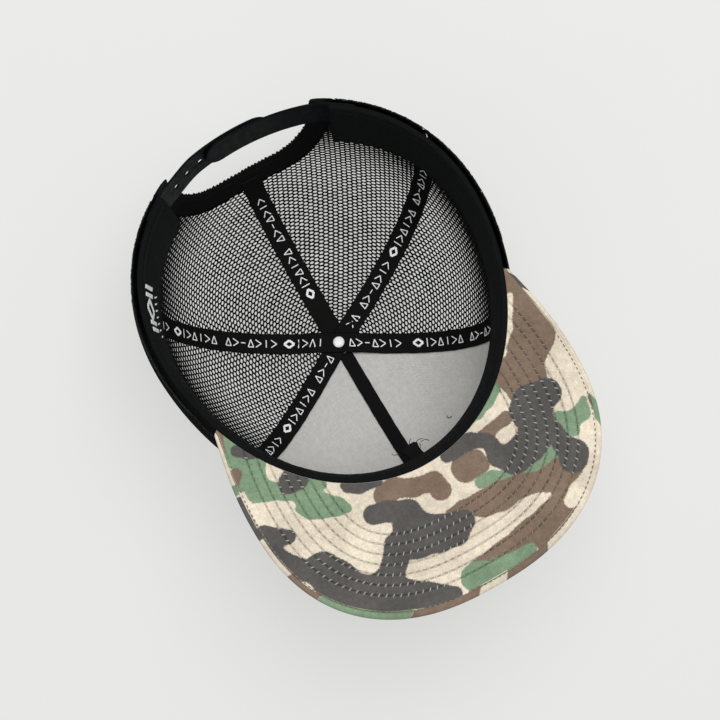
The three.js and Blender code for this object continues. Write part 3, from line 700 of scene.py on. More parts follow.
def brim_outline(u):
    """The brim's outline, from u = -1 at the wearer's right corner to u = 1 at the left corner."""
    u = np.asarray(u, float)
    s, sign, turn = np.abs(u), np.sign(u), 1 - BRIM_SIDE_SHARE
    k = np.clip((s - turn) / BRIM_SIDE_SHARE, 0, 1)
    side_x = BRIM_CORNER_X + (BRIM_HALF_WIDTH - BRIM_CORNER_X) * np.cos(np.pi / 2 * k)
    side_y = BRIM_WIDEST_Y + (BRIM_CORNER_Y - BRIM_WIDEST_Y) * k
    angle = np.pi / 2 * np.minimum(s, turn) / turn
    front_x = BRIM_HALF_WIDTH * np.sin(angle) ** (2 / BRIM_POWER)
    front_y = BRIM_WIDEST_Y - BRIM_REACH * np.maximum(0, np.cos(angle)) ** (2 / BRIM_POWER)
    on_side = s > turn
    return np.stack([sign * np.where(on_side, side_x, front_x), np.where(on_side, side_y, front_y)], -1)


def even_outline(steps):
    """Parameters of the outline at equal distances along it, and its whole length."""
    fine = np.linspace(-1, 1, 4001)
    points = brim_outline(fine)
    distance = np.concatenate([[0], np.cumsum(np.linalg.norm(np.diff(points, axis=0), axis=1))])
    return np.interp(np.linspace(0, distance[-1], steps), distance, fine), distance[-1]


EVEN_U, BRIM_LENGTH = even_outline(BRIM_STEPS + 1)


def brim_xy(u, inset):
    """Plan position a distance in from the outline, on the line to the head opening."""
    inner = rim_point(BRIM_ANGLE * u, BRIM_GAP)[..., :2]
    outer = brim_outline(u)
    length = np.linalg.norm(outer - inner, axis=-1)
    share = np.clip(inset / length, 0, 1)[..., None]
    return outer + (inner - outer) * share, length


def distance_from_outline(xy):
    """Shortest distance to the outline of each point of a flat list."""
    outline = brim_outline(even_outline(900)[0])
    nearest = np.full(len(xy), np.inf)
    for start in range(0, len(outline), 50):
        gaps = np.linalg.norm(xy[:, None] - outline[None, start : start + 50], axis=-1)
        nearest = np.minimum(nearest, gaps.min(1))
    return nearest


def quilted(inset):
    """How far the cloth stands proud between the stitch rows, and falls in on them."""
    row = (inset - FIRST_ROW) / ROW_PITCH
    pillow = np.abs(np.sin(np.pi * row)) ** 0.55
    in_rows = (row > -0.5) & (row < ROW_COUNT - 0.5)
    return QUILT * np.where(in_rows, pillow, 1.0)


def make_under_cover():
    """The brim's lower cover, drawn in along its stitch rows."""
    u = EVEN_U[:, None]
    length = brim_xy(EVEN_U, np.zeros(BRIM_STEPS + 1))[1][:, None]
    first = np.minimum(LIP_REACH - 1, 0.35 * length)
    inset = first + (length * 0.999 - first) * np.linspace(0, 1, UNDER_COLUMNS)[None]
    xy = brim_xy(np.broadcast_to(u, inset.shape), inset)[0]
    depth = distance_from_outline(xy.reshape(-1, 2)).reshape(inset.shape)
    arch = brim_arch(xy[..., 0])
    lower = np.concatenate([xy, (arch + UNDER_FACE - quilted(depth) + ripples(xy))[..., None]], -1)
    upper = np.concatenate([xy, (arch + UNDER_BACK)[..., None]], -1)
    loop = np.concatenate([lower, upper[:, ::-1]], 1)
    values = print_values(loop[..., 0], loop[..., 1])
    values["inset"] = np.concatenate([depth, depth[:, ::-1]], 1).ravel()
    points, faces = loft(loop)
    look = camo_material("camo_brim", stitched=True)
    made = piece("brim_under_cover", points, faces, look, "camo_cloth", values)
    return ride(made, "visor_under_cover")


def ripples(xy):
    """Small unevenness of cloth that is sewn to a board."""
    x, y = xy[..., 0], xy[..., 1]
    return 0.05 * np.sin(x / 7 + 1.3 * np.sin(y / 11)) * np.sin(y / 6 + np.sin(x / 9))


def lip_profile():
    """Inset and height of the top cover's section, from the head opening round to below the board."""
    around = np.linspace(0, np.pi, 12)
    half = BRIM_TOP / 2
    roll = [(half * (1 - math.sin(a)), half + half * math.cos(a)) for a in around]
    under = [(2.4, -0.12), (2.9, 0.12), (EDGE_ROW, 0.3), (3.4, 0.16), (3.8, 0.02), (LIP_REACH, 0.2)]
    return roll, under + [(LIP_REACH, 0.55)]


def make_top_cover():
    """The upper cover: over the board, round its edge and back under it as a stitched lip."""
    roll, under = lip_profile()
    shares = np.linspace(0.999, 0.0, TOP_COLUMNS)
    length = brim_xy(EVEN_U, np.zeros(BRIM_STEPS + 1))[1]
    top_inset = length[:, None] * shares[None] + (BRIM_TOP / 2) * (1 - shares[None])
    small = np.minimum(1, length * 0.8 / LIP_REACH)[:, None]
    bent = np.array(roll[1:] + under)
    inset = np.concatenate([np.minimum(top_inset, length[:, None]), bent[None, :, 0] * small], 1)
    bent_height = np.broadcast_to(bent[:, 1], (len(length), len(bent)))
    height = np.concatenate([np.full(top_inset.shape, BRIM_TOP), bent_height], 1)
    u = np.broadcast_to(EVEN_U[:, None], inset.shape)
    xy = brim_xy(u, inset)[0]
    z = brim_arch(xy[..., 0]) + height
    outer = np.concatenate([xy, z[..., None]], -1)
    top_xy = xy[:, :TOP_COLUMNS]
    depth = distance_from_outline(top_xy.reshape(-1, 2)).reshape(-1, TOP_COLUMNS)
    outer[:, :TOP_COLUMNS, 2] += quilted(depth) - QUILT + ripples(-top_xy)
    inner = outer.copy()
    thin = np.minimum(CLOTH, 0.15 * length)[:, None]
    column = np.arange(inset.shape[1])
    inner[..., :2] = brim_xy(u, inset + thin * (column >= TOP_COLUMNS))[0]
    middle = brim_arch(xy[..., 0]) + BRIM_TOP / 2
    inner[..., 2] = middle + (outer[..., 2] - middle) * 0.66
    points, faces = loft(np.concatenate([outer, inner[:, ::-1]], 1))
    column = np.concatenate([column, column[::-1]])
    flipped = print_values(-points[:, 0], FLIP_Y - points[:, 1])
    along = np.linspace(0, BRIM_LENGTH, len(u))[:, None]
    edge = edge_values(along, inset[:, column])
    on_edge = np.broadcast_to(column >= ROLL_START, (len(u), len(column))).ravel()
    values = {key: np.where(on_edge, edge[key], flipped[key]) for key in edge}
    unstitched = np.zeros((len(u), 2 * len(bent)))
    values["inset"] = np.concatenate([depth, unstitched, depth[:, ::-1]], 1).ravel()
    look = camo_material("camo_brim_top", stitched=True)
    made = piece("brim_top_cover", points, faces, look, "camo_cloth", values)
    return ride(made, "visor_top_cover")


def row_curve(inset, height):
    """A curve at a constant distance in from the outline, kept where it is clear of the crown."""
    outline = brim_outline(EVEN_U)
    ahead = unit(np.gradient(outline, axis=0))
    xy = outline + np.stack([-ahead[:, 1], ahead[:, 0]], -1) * inset
    azimuth = np.degrees(np.arctan2(xy[:, 0], -xy[:, 1]))
    clear = np.hypot(xy[:, 0], xy[:, 1]) - rim_radius(azimuth) > CROWN_CLEARANCE
    middle = len(clear) // 2
    left = middle + np.argmin(clear[middle:]) if not clear[middle:].all() else len(clear)
    right = middle - np.argmin(clear[middle::-1]) if not clear[: middle + 1].all() else -1
    xy = xy[right + 1 : left]
    return np.column_stack([xy, brim_arch(xy[:, 0]) + height])


def flat_ovals(centres, along, up, length, width):
    """Thin oval plates at the centres, lying on the cloth."""
    angles = np.linspace(0, 2 * np.pi, 10, endpoint=False)
    lengthwise = (np.cos(angles) * length / 2)[:, None]
    widthwise = (np.sin(angles) * width / 2)[:, None]
    aside = np.cross(up, along)
    shapes = []
    for centre, ahead, across, out in zip(centres, along, aside, up):
        ring = ahead * lengthwise + across * widthwise
        foot, top = centre + ring * 0.9 - out * 0.06, centre + ring * 0.75 + out * 0.02
        shapes.append(loft(np.stack([foot, centre + ring, top])))
    return joined(shapes)


def printed(name, shape, look):
    """A piece of the brim's underside that carries the print of the place where it lies."""
    points, faces = shape
    values = print_values(points[:, 0], points[:, 1])
    return ride(piece(name, points, faces, look, "camo_cloth", values))


def make_brim_stitching():
    """The sewn rows on both faces of the brim: pulled-in holes, drawn as dark ovals of print in painted
    shade, with a slanted thread after each.
    """
    down = np.array([0, 0, -1.0])
    holes, ticks, top_ticks = [], [], []
    for k in range(ROW_COUNT):
        inset = FIRST_ROW + ROW_PITCH * k
        centres, along = every(row_curve(inset, 0.24), HOLE_PITCH, 1.3 * (k % 3))
        ups = np.broadcast_to(down, centres.shape)
        holes.append(flat_ovals(centres, along, ups, 1.8, 1.1))
        ticks.append(stitches(centres + along * 1.5 + ups * 0.1, along, ups, 2.1, 0.36, TICK_SLANT))
        centres, along = every(row_curve(inset, BRIM_TOP - QUILT + 0.1), 3.9)
        top_ticks.append(stitches(centres, along, -np.broadcast_to(down, centres.shape), 3.0, 0.26))
    centres, along = every(row_curve(EDGE_ROW, 0.26), 2.6)
    ups = np.broadcast_to(down, centres.shape)
    edge = stitches(centres + ups * 0.15, along, ups, 1.8, 0.36)
    # The holes are the print at half brightness: painted shade, not a colour of the cloth.
    printed("brim_needle_hole_shade", joined(holes), camo_material("camo_needle_hole_shade", hole_shade=0.5))
    light = plain_cloth("light_thread", (0.42, 0.40, 0.36), 0.7, 0.5, 0.03)
    dark = plain_cloth("dark_thread", (0.19, 0.165, 0.13), 0.8, 0.5, 0.03)
    printed("brim_thread_below", joined(ticks), printed_thread())
    ride(piece("brim_thread_above", *joined(top_ticks), light, "camo_cloth"))
    ride(piece("brim_edge_thread", *edge, dark, "camo_cloth"))


# ---- Mesh panels --------------------------------------------------------------------------------

NET_COLUMN, NET_PITCH = 2.7, 2.0
NET_CORNER = 0.82
HOLE_HALF_LENGTH, HOLE_HALF_WIDTH = 1.14, 0.60
NET_MIDDLE, NET_HALF = 0.6, 0.56
NET_HEM = 3.0
HOLE_SIDES = 12
ARCH_MARGIN = 5.0
SHUT_HALF = 0.3


def arch_reach(x, z, side, top):
    """Below 1 inside the half-moon gap's outline when it is enlarged at its sides and top."""
    return (np.abs(x) / (ARCH_HALF_WIDTH + side)) ** ARCH_POWER + (
        np.maximum(z, 0) / (ARCH_HEIGHT + top)
    ) ** ARCH_POWER


class PanelMap:
    """Lays a flat panel, up from its foot and sideways from its middle, on the crown."""

    def __init__(self, middle):
        self.middle = middle
        self.shares = np.linspace(0, share_at_radius(np.float64(middle), TOP_HOLE_R), 400)
        points = meridian(middle, self.shares)
        steps = np.linalg.norm(np.diff(points, axis=0), axis=1)
        self.heights = np.concatenate([[0], np.cumsum(steps)])
        half = PANEL_ANGLE / 2
        left, right = meridian(middle - half, self.shares), meridian(middle + half, self.shares)
        self.millimetres = np.linalg.norm(right - left, axis=1) / PANEL_ANGLE * 1.047

    def place(self, across, up):
        """Azimuth, share, and how far the point lies inside the panel's edges, in millimetres."""
        share = np.interp(up, self.heights, self.shares)
        scale = np.interp(up, self.heights, self.millimetres)
        half = PANEL_ANGLE / 2 - 0.2 / scale
        offset = across / scale
        inside = np.minimum((half - np.abs(offset)) * scale, self.heights[-1] - up)
        azimuth = self.middle + np.clip(offset, -half, half)
        foot = share_at_height(azimuth, crown_foot(azimuth) + 0.1)
        inside = np.minimum(inside, (share - foot) * self.heights[-1])
        return azimuth, np.maximum(share, foot), inside


def net_cells(panel, arched):
    """Centres of the net's openings over the panel, in its flat coordinates."""
    reach = panel.millimetres.max() * PANEL_ANGLE / 2 + 2 * NET_COLUMN
    columns = np.arange(-int(reach / NET_COLUMN), int(reach / NET_COLUMN) + 1)
    rows = np.arange(-2, int(panel.heights[-1] / NET_PITCH) + 3)
    column, row = np.meshgrid(columns, rows, indexing="ij")
    across = column * NET_COLUMN
    up = (row + 0.5 * (column % 2)) * NET_PITCH
    azimuth, share, inside = panel.place(across.ravel(), up.ravel())
    keep = inside > -NET_COLUMN / 2
    if arched:
        points = meridian(azimuth, share)
        reach_of = arch_reach(points[:, 0], points[:, 2], ARCH_MARGIN, ARCH_MARGIN)
        keep &= (reach_of > 1) | (points[:, 1] < 0)
    return across.ravel()[keep], up.ravel()[keep], inside[keep]


def net_panel(name, first_seam, look, *nodes, arched=False):
    """A knitted net panel: round threads between staggered oval openings."""
    panel = PanelMap(first_seam + PANEL_ANGLE / 2)
    across, up, inside = net_cells(panel, arched)
    middles = np.stack([across, up], -1)
    far, half = NET_COLUMN - NET_CORNER, NET_PITCH / 2
    upper = [(far, 0), (NET_CORNER, half), (-NET_CORNER, half)]
    corners = np.array(upper + [(-x, -y) for x, y in upper])
    flat = middles[:, None] + corners[None]
    keys = np.round(flat.reshape(-1, 2) * 20).astype(int)
    _, chosen, corner_of, uses = np.unique(
        keys, axis=0, return_index=True, return_inverse=True, return_counts=True
    )
    corner_of = corner_of.reshape(len(across), 6)
    flat_corners = flat.reshape(-1, 2)[chosen]
    flat_corners = flat_corners + rng.normal(0, 0.05, flat_corners.shape)
    azimuth, share, edge = panel.place(flat_corners[:, 0], flat_corners[:, 1])
    half_depth = NET_HALF * ((uses > 2) & (edge > 0.05))
    outer = crown_point(azimuth, share, NET_MIDDLE - half_depth)
    inner = crown_point(azimuth, share, NET_MIDDLE + half_depth)
    turn = np.linspace(0, 2 * np.pi, HOLE_SIDES, endpoint=False)
    oval = np.stack([HOLE_HALF_LENGTH * np.cos(turn), HOLE_HALF_WIDTH * np.sin(turn)], -1)
    open_cells = np.flatnonzero(inside > NET_HEM / 2)
    shut_cells = np.flatnonzero(inside <= NET_HEM / 2)
    size = smoothstep(inside[open_cells], NET_HEM / 2 - 1, NET_HEM / 2 + 1.5)
    size = size * rng.normal(1, 0.04, len(open_cells))
    rims = middles[open_cells, None] + oval[None] * np.clip(size, 0.35, 1.1)[:, None, None]
    rims = rims + rng.normal(0, 0.035, rims.shape)
    azimuth, share, _ = panel.place(rims[..., 0], rims[..., 1])
    hole_points = crown_point(azimuth, share, NET_MIDDLE)
    azimuth, share, _ = panel.place(across[shut_cells], up[shut_cells])
    shut_points = crown_point(azimuth, share, NET_MIDDLE - SHUT_HALF)
    shut_inner = crown_point(azimuth, share, NET_MIDDLE + SHUT_HALF)
    points = np.concatenate([outer, inner, hole_points.reshape(-1, 3), shut_points, shut_inner])
    shut_cloth = middles[shut_cells]
    cloth = np.concatenate([flat_corners, flat_corners, rims.reshape(-1, 2), shut_cloth, shut_cloth])
    count = len(outer)
    hole_first = 2 * count
    shut_first = hole_first + hole_points.size // 3
    faces = []
    for number, cell in enumerate(open_cells):
        ring = hole_first + number * HOLE_SIDES
        for k in range(6):
            a, b = corner_of[cell, k], corner_of[cell, (k + 1) % 6]
            start, middle, end = ring + 2 * k, ring + 2 * k + 1, ring + (2 * k + 2) % HOLE_SIDES
            faces += [(a, b, middle), (a, middle, start), (b, end, middle)]
            a, b = a + count, b + count
            faces += [(b, a, middle), (a, start, middle), (b, middle, end)]
    for number, cell in enumerate(shut_cells):
        front, back = shut_first + number, shut_first + len(shut_cells) + number
        for k in range(6):
            a, b = corner_of[cell, k], corner_of[cell, (k + 1) % 6]
            faces += [(a, b, front), (b + count, a + count, back)]
    points, faces = tidy_triangles(points, np.array(faces))
    values = {"cloth_x": cloth[:, 0], "cloth_y": cloth[:, 1]}
    made = piece(name, points, faces, look, "black_mesh", values)
    return ride(made, *nodes)


def tidy_triangles(points, triangles):
    """Drops triangles that clamping to an edge has flattened."""
    a, b, c = (points[triangles[:, k]] for k in range(3))
    area = np.linalg.norm(np.cross(b - a, c - a), axis=1)
    return points, triangles[area > 1e-5]


def make_net_panels():
    """Two flank panels and two rear ones, which the half-moon gap cuts into."""
    look = plain_cloth("black_net_yarn", (0.0042, 0.0043, 0.0046), 0.72, 0.7, 0.05, 0.35)
    for side, flank, rear in (("left", PANEL_ANGLE, 2 * PANEL_ANGLE), ("right", -2 * PANEL_ANGLE, BACK)):
        net_panel(f"net_side_{side}", flank, look, f"side_mesh_{side}")
        net_panel(f"net_rear_{side}", rear, look, f"rear_mesh_{side}", arched=True)


# ---- Front panels -------------------------------------------------------------------------------

PANEL_COLUMNS, PANEL_ROWS, PANEL_CLIMB = 70, 90, 165
PANEL_PRINT_SCALE, PANEL_PRINT_Y = 0.9, -168
BESIDE_FRONT_SEAM = (2.2, 3.4)
BESIDE_NET_SEAM = 2.4
HEM_LOOPS, HEM_FROM_Z, HEM_DEEP = 620, 0.7, 2.2


def front_shell(name, first_seam, raise_z, outer_depth, inner_depth, look, slot, node, roll):
    """A sewn front panel layer, with edges that turn in and slow waves across the cloth."""
    u = np.linspace(0, 1, PANEL_COLUMNS)[:, None]
    azimuth = np.broadcast_to(first_seam + PANEL_ANGLE * u, (PANEL_COLUMNS, PANEL_ROWS))
    start = share_at_height(azimuth, crown_foot(azimuth) + raise_z)
    end = share_at_radius(azimuth, TOP_HOLE_R)
    share = start + (end - start) * np.linspace(0, 1, PANEL_ROWS)[None]
    sideways = 0.2 * (1 - 2 * u)
    surface = meridian(azimuth, share)
    radius = np.hypot(surface[..., 0], surface[..., 1] - APEX_Y)
    from_seam = np.minimum(u, 1 - u) * math.radians(PANEL_ANGLE) * radius
    dip = roll * (1 - smoothstep(from_seam, 0, 2.2))
    height = surface[..., 2]
    waves = 0.12 * np.sin(azimuth / 5 + height / 13) * np.sin(height / 9 + azimuth / 11)
    outer = crown_point(azimuth, share, outer_depth + dip * (inner_depth - outer_depth) + waves, sideways)
    inner = crown_point(azimuth, share, inner_depth - 0.1 * dip + waves, sideways)
    loop = np.concatenate([outer, inner[:, ::-1]], 1)
    lateral = math.radians(1) * azimuth * np.maximum(radius, 30)
    climb = share * PANEL_CLIMB
    flat_x = np.concatenate([lateral, lateral[:, ::-1]], 1)
    flat_y = np.concatenate([climb, climb[:, ::-1]], 1)
    points, faces = loft(loop)
    values = print_values(flat_x * PANEL_PRINT_SCALE, flat_y + PANEL_PRINT_Y)
    made = piece(name, points, faces, look, slot, values)
    return ride(made, node)


def wall_stitches(azimuth, share, depth, sideways, pitch, length, facing=1):
    """Stitches on the crown's wall along a line; facing is -1 for those that show inside."""
    line = crown_point(azimuth, share, depth, sideways)
    centres, along = every(line, pitch)
    nearest = np.linalg.norm(line[None] - centres[:, None], axis=-1).argmin(1)
    up = wall_directions(azimuth, share)[1][nearest] * facing
    return stitches(centres, along, up, length, 0.2)


def seam_rows(name, seam, sides, depth, low, yarn, slot):
    """Rows of stitching that follow a seam outside the crown, at those distances to its sides."""
    azimuth = np.full(240, float(seam))
    shares = np.linspace(share_at_height(seam, low), share_at_radius(np.float64(seam), 9), 240)
    shapes = [wall_stitches(azimuth, shares, depth, side, 3.1, 2.3) for side in sides]
    ride(piece(name, *joined(shapes), yarn, slot))


def make_outer_stitching():
    """Double pale rows beside the front panels' seams, and dark rows beside the net's seams."""
    pale = plain_cloth("outer_thread", (0.42, 0.37, 0.29), 0.8, 0.4, 0.03)
    dark = plain_cloth("outer_net_thread", (0.0065, 0.0065, 0.007), 0.7, 0.4, 0.03)
    foot = BRIM_LIFT + BRIM_TOP + 3
    near, far = BESIDE_FRONT_SEAM
    for side, seam, sides in (
        ("front", 0, (-far, -near, near, far)),
        ("left", PANEL_ANGLE, (-far, -near)),
        ("right", -PANEL_ANGLE, (near, far)),
    ):
        seam_rows(f"{side}_seam_stitching", seam, sides, -0.06, foot, pale, "camo_cloth")
    sides = (-BESIDE_NET_SEAM, BESIDE_NET_SEAM)
    for number, seam in enumerate((2 * PANEL_ANGLE, -2 * PANEL_ANGLE)):
        seam_rows(f"net_seam_stitching_{number}", seam, sides, 0.0, 4, dark, "black_mesh")


def make_net_hem():
    """Cut yarn loops along the net's lower edge, uneven and slightly frayed, a lighter black than the net as
    painted highlight.
    """
    azimuth = np.linspace(BRIM_STEP_TO + 1, 360 - BRIM_STEP_TO - 1, HEM_LOOPS)
    azimuth = azimuth[np.abs(azimuth - BACK) > BAND_END_ANGLE + 2]
    count = len(azimuth)
    azimuth = azimuth + rng.normal(0, 0.12, count)
    signed = np.where(azimuth > BACK, azimuth - 360, azimuth)
    z = HEM_FROM_Z + HEM_DEEP * rng.random(count)
    centres = crown_point(signed, share_at_height(signed, z), -0.05 - 0.25 * rng.random(count))
    side, normal = wall_directions(signed, share_at_height(signed, z))
    # Lighter than the net's own yarn: painted highlight for the lit specks of yarn along the hem.
    yarn = plain_cloth("hem_yarn_highlight", (0.016, 0.017, 0.018), 0.65, 0.5, 0.04, 0.5)
    turned_by = rng.choice([-60.0, -30.0, 30.0, 60.0], count)
    loops = stitches(centres, side, normal, 1.9, 0.28, turned_by)
    ride(piece("net_hem_loops", *loops, yarn, "black_mesh"))


def make_front_panels():
    """Printed cloth outside, and stiff grey buckram inside it."""
    camo = camo_material("camo_front")
    grey = backing_material()
    for side, first in (("left", 0), ("right", -PANEL_ANGLE)):
        cloth, backing = f"front_panel_{side}", f"front_backing_{side}"
        front_shell(f"front_cloth_{side}", first, 0, 0, 1.0, camo, "camo_cloth", cloth, 0.7)
        front_shell(f"front_buckram_{side}", first, 1, 1.3, 2.5, grey, "grey_backing", backing, 0)


def backing_material():
    """Grey buckram: a coarse open weave stiffened with a matt size."""
    look = Look("grey_buckram", 0.88, 0.05)
    fine = look.ramp(look.weave(1.15), -1.0, 1.0, 0.95, 1.04)
    slubs = look.ramp(look.noise(900, 3, (1, 0.25, 0.25)), 0.3, 0.7, 0.95, 1.05)
    cross = look.ramp(look.noise(900, 3, (0.25, 1, 1)), 0.3, 0.7, 0.96, 1.04)
    slow = look.ramp(look.noise(30, 2), 0.3, 0.7, 0.98, 1.02)
    along, over = look.math("MULTIPLY", fine, slubs), look.math("MULTIPLY", cross, slow)
    factor = look.math("MULTIPLY", along, over)
    look.bump(look.math("ADD", look.weave(1.15), look.noise(1000, 3)), 0.08, 0.7)
    return look.color(look.shade((0.50, 0.495, 0.475), factor))


# ---- Seam tapes ---------------------------------------------------------------------------------

LEG_STEPS = 160


def seam_depth(azimuth):
    """How deep the tape lies below the crown's surface, deeper under the front panels' backing."""
    toward_front = smoothstep(math.cos(math.radians(azimuth)), 0, 0.5)
    return TAPE_DEPTH_MESH + (TAPE_DEPTH_FRONT - TAPE_DEPTH_MESH) * toward_front


def crossing_depth(seam, other, share, rise):
    """Depth of a tape that passes over the top, level with the others where they cross."""
    at = meridian(seam, share)
    radius = np.hypot(at[..., 0], at[..., 1] - APEX_Y)
    near = 1 - smoothstep(radius, CROSSING_REACH, 2 * CROSSING_REACH)
    between = max((seam_depth(seam) + seam_depth(other)) / 2, TAPE_DEPTH_FRONT)
    return seam_depth(seam) + (between + rise - seam_depth(seam)) * near


def short_depth(seam, share):
    """Depth of a short tape, which tucks in below the long ones at the crossing."""
    at = meridian(seam, share)
    radius = np.hypot(at[..., 0], at[..., 1] - APEX_Y)
    tucked = TAPE_DEPTH_FRONT - TAPE_THICKNESS - 0.05
    return seam_depth(seam) + (tucked - seam_depth(seam)) * (1 - smoothstep(radius, 11, 19))


class Tape:
    """A tape on the crown's inside, with its length s in millimetres from its first foot."""

    def __init__(self, seams, foot_z, width, rise=0.0):
        self.width = width
        over_top = len(seams) == 2
        legs = []
        for seam in seams:
            end = 1.0 if over_top else share_at_radius(np.float64(seam), HIDDEN_END_R)
            shares = np.linspace(share_at_height(seam, foot_z), end, LEG_STEPS)
            other = seams[-1] if seam == seams[0] else seams[0]
            if over_top:
                depth = crossing_depth(seam, other, shares, rise)
            else:
                depth = short_depth(seam, shares)
            legs.append([np.full(LEG_STEPS, float(seam)), shares, depth, np.ones(LEG_STEPS)])
        if over_top:
            second = [values[::-1][1:] for values in legs[1]]
            second[3] = -second[3]
            legs = [np.concatenate(pair) for pair in zip(legs[0], second)]
        else:
            legs = legs[0]
        self.seam, self.share, self.depth, self.side = legs
        self.line = crown_point(self.seam, self.share, self.depth)
        steps = np.linalg.norm(np.diff(self.line, axis=0), axis=1)
        self.distance = np.concatenate([[0], np.cumsum(steps)])
        self.length = self.distance[-1]
        side, normal = wall_directions(self.seam, self.share)
        self.across = side * self.side[:, None]
        self.inward = -normal

    def pick(self, s, values):
        """The values, stored along the tape, at the distances s."""
        return np.stack([np.interp(s, self.distance, values[:, k]) for k in range(3)], -1)

    def point(self, s, across, lift=0.0):
        """s along, across from the middle, lift above the face that shows inside the cap."""
        across, lift = np.asarray(across, float)[..., None], np.asarray(lift, float)[..., None]
        aside = self.pick(s, self.line) + self.pick(s, self.across) * across
        return aside + self.pick(s, self.inward) * (TAPE_THICKNESS + lift)

    def directions(self, s):
        """Along the tape, and out of the face that shows inside the cap."""
        middle = np.zeros_like(s)
        along = unit(self.point(s + 0.3, middle) - self.point(s - 0.3, middle))
        return along, unit(self.pick(s, self.inward))


def tape_piece(name, tape, look, *nodes):
    """The tape itself, thin at its woven edges, with a faint ripple along them."""
    section = [(-1, -0.35), (-0.96, -0.12), (-0.86, 0.0), (-0.4, 0.04), (0, 0.05), (0.4, 0.04), (0.86, 0.0),
               (0.96, -0.12), (1, -0.35), (0.9, -0.66), (0, -0.68), (-0.9, -0.66)]
    steps = int(tape.length / 1.2)
    s = np.linspace(0, tape.length, steps)[:, None]
    across = np.array([a for a, _ in section])[None] * tape.width / 2
    wobble = 1 + 0.012 * np.sin(s / 3.1) + 0.01 * np.sin(s / 1.3 + 2)
    lift = np.array([h for _, h in section])[None] + 0.05 * np.sin(s / 5 + across / 4)
    s_all = np.broadcast_to(s, (steps, len(section)))
    points, faces = loft(tape.point(s_all, across * wobble, lift))
    values = {"cloth_x": s_all.ravel(), "cloth_y": np.broadcast_to(across, s_all.shape).ravel()}
    return ride(piece(name, points, faces, look, "black_tape", values), *nodes)


# A generic trim motif. Shapes are strokes between (along, across) points, one unit wide and two high.
CHEVRON = [((0, -1), (1, 0)), ((1, 0), (0, 1))]
TRIANGLE = [((0, -1), (0.5, 1)), ((0.5, 1), (1, -1)), ((1, -1), (0, -1))]
BAR = [((0.5, -1), (0.5, 1))]
DASH = [((0.1, 0), (0.9, 0))]
GAP = []
FIRST_WORD = [CHEVRON, TRIANGLE, BAR, CHEVRON, TRIANGLE]
SECOND_WORD = [TRIANGLE, CHEVRON, DASH, TRIANGLE, CHEVRON, BAR, CHEVRON]
MOTIF = FIRST_WORD + [GAP] + SECOND_WORD
MARK_WIDTH, MARK_PITCH, MARK_HEIGHT = 3.1, 4.3, 4.2
FRAME_LENGTH, FRAME_STROKE, BAR_AT, MOTIF_START, STROKE = 5.6, 1.2, 8, 10.2, 0.52


def mark_strokes():
    """A framed diamond, a long bar, then the motif's shapes, as (start, end, width) strokes."""
    h = MARK_HEIGHT / 2
    diamond = [(0, 0), (FRAME_LENGTH / 2, h), (FRAME_LENGTH, 0), (FRAME_LENGTH / 2, -h)]
    strokes = [(diamond[k], diamond[(k + 1) % 4], FRAME_STROKE) for k in range(4)]
    strokes.append(((BAR_AT, -h * 1.15), (BAR_AT, h * 1.15), STROKE))
    for number, shape in enumerate(MOTIF):
        at = MOTIF_START + MARK_PITCH * number
        for (s0, c0), (s1, c1) in shape:
            strokes.append(((at + MARK_WIDTH * s0, h * c0), (at + MARK_WIDTH * s1, h * c1), STROKE))
    return strokes


def stroke_shape(tape, start, end, width):
    """One printed stroke as a thin plate on the tape."""
    start, end = np.array(start, float), np.array(end, float)
    ahead = end - start
    ahead /= np.linalg.norm(ahead)
    aside = np.array([-ahead[1], ahead[0]]) * width / 2
    outline = np.array([start - aside, end - aside, end + aside, start + aside])
    sections = [tape.point(outline[:, 0], outline[:, 1], np.full(4, lift)) for lift in (-0.12, 0.1)]
    return loft(np.stack(sections))


def tape_print(name, tape, starts, look, spans, sign=1):
    """White motifs that run on from each start, kept within the spans of the tape that show."""
    shapes = []
    for first in starts:
        for a, b, width in mark_strokes():
            ends = sorted((first + sign * a[0], first + sign * b[0]))
            if any(low < ends[0] and ends[1] < high for low, high in spans):
                start, end = ((first + sign * s, sign * c) for s, c in (a, b))
                shapes.append(stroke_shape(tape, start, end, width))
    return ride(piece(name, *joined(shapes), look, "black_tape", smooth=False))


def tape_stitching(name, tape, look):
    """A row of lockstitch near each edge of the tape."""
    shapes = []
    for side in (-1, 1):
        s = np.arange(3, tape.length - 3, 2.9)
        along, inward = tape.directions(s)
        from_middle = np.full(s.shape, side * (tape.width / 2 - 1.3))
        centres = tape.point(s, from_middle, np.full(s.shape, 0.03))
        shapes.append(stitches(centres, along, inward, 2.1, 0.2))
    return ride(piece(name, *joined(shapes), look, "black_tape"))


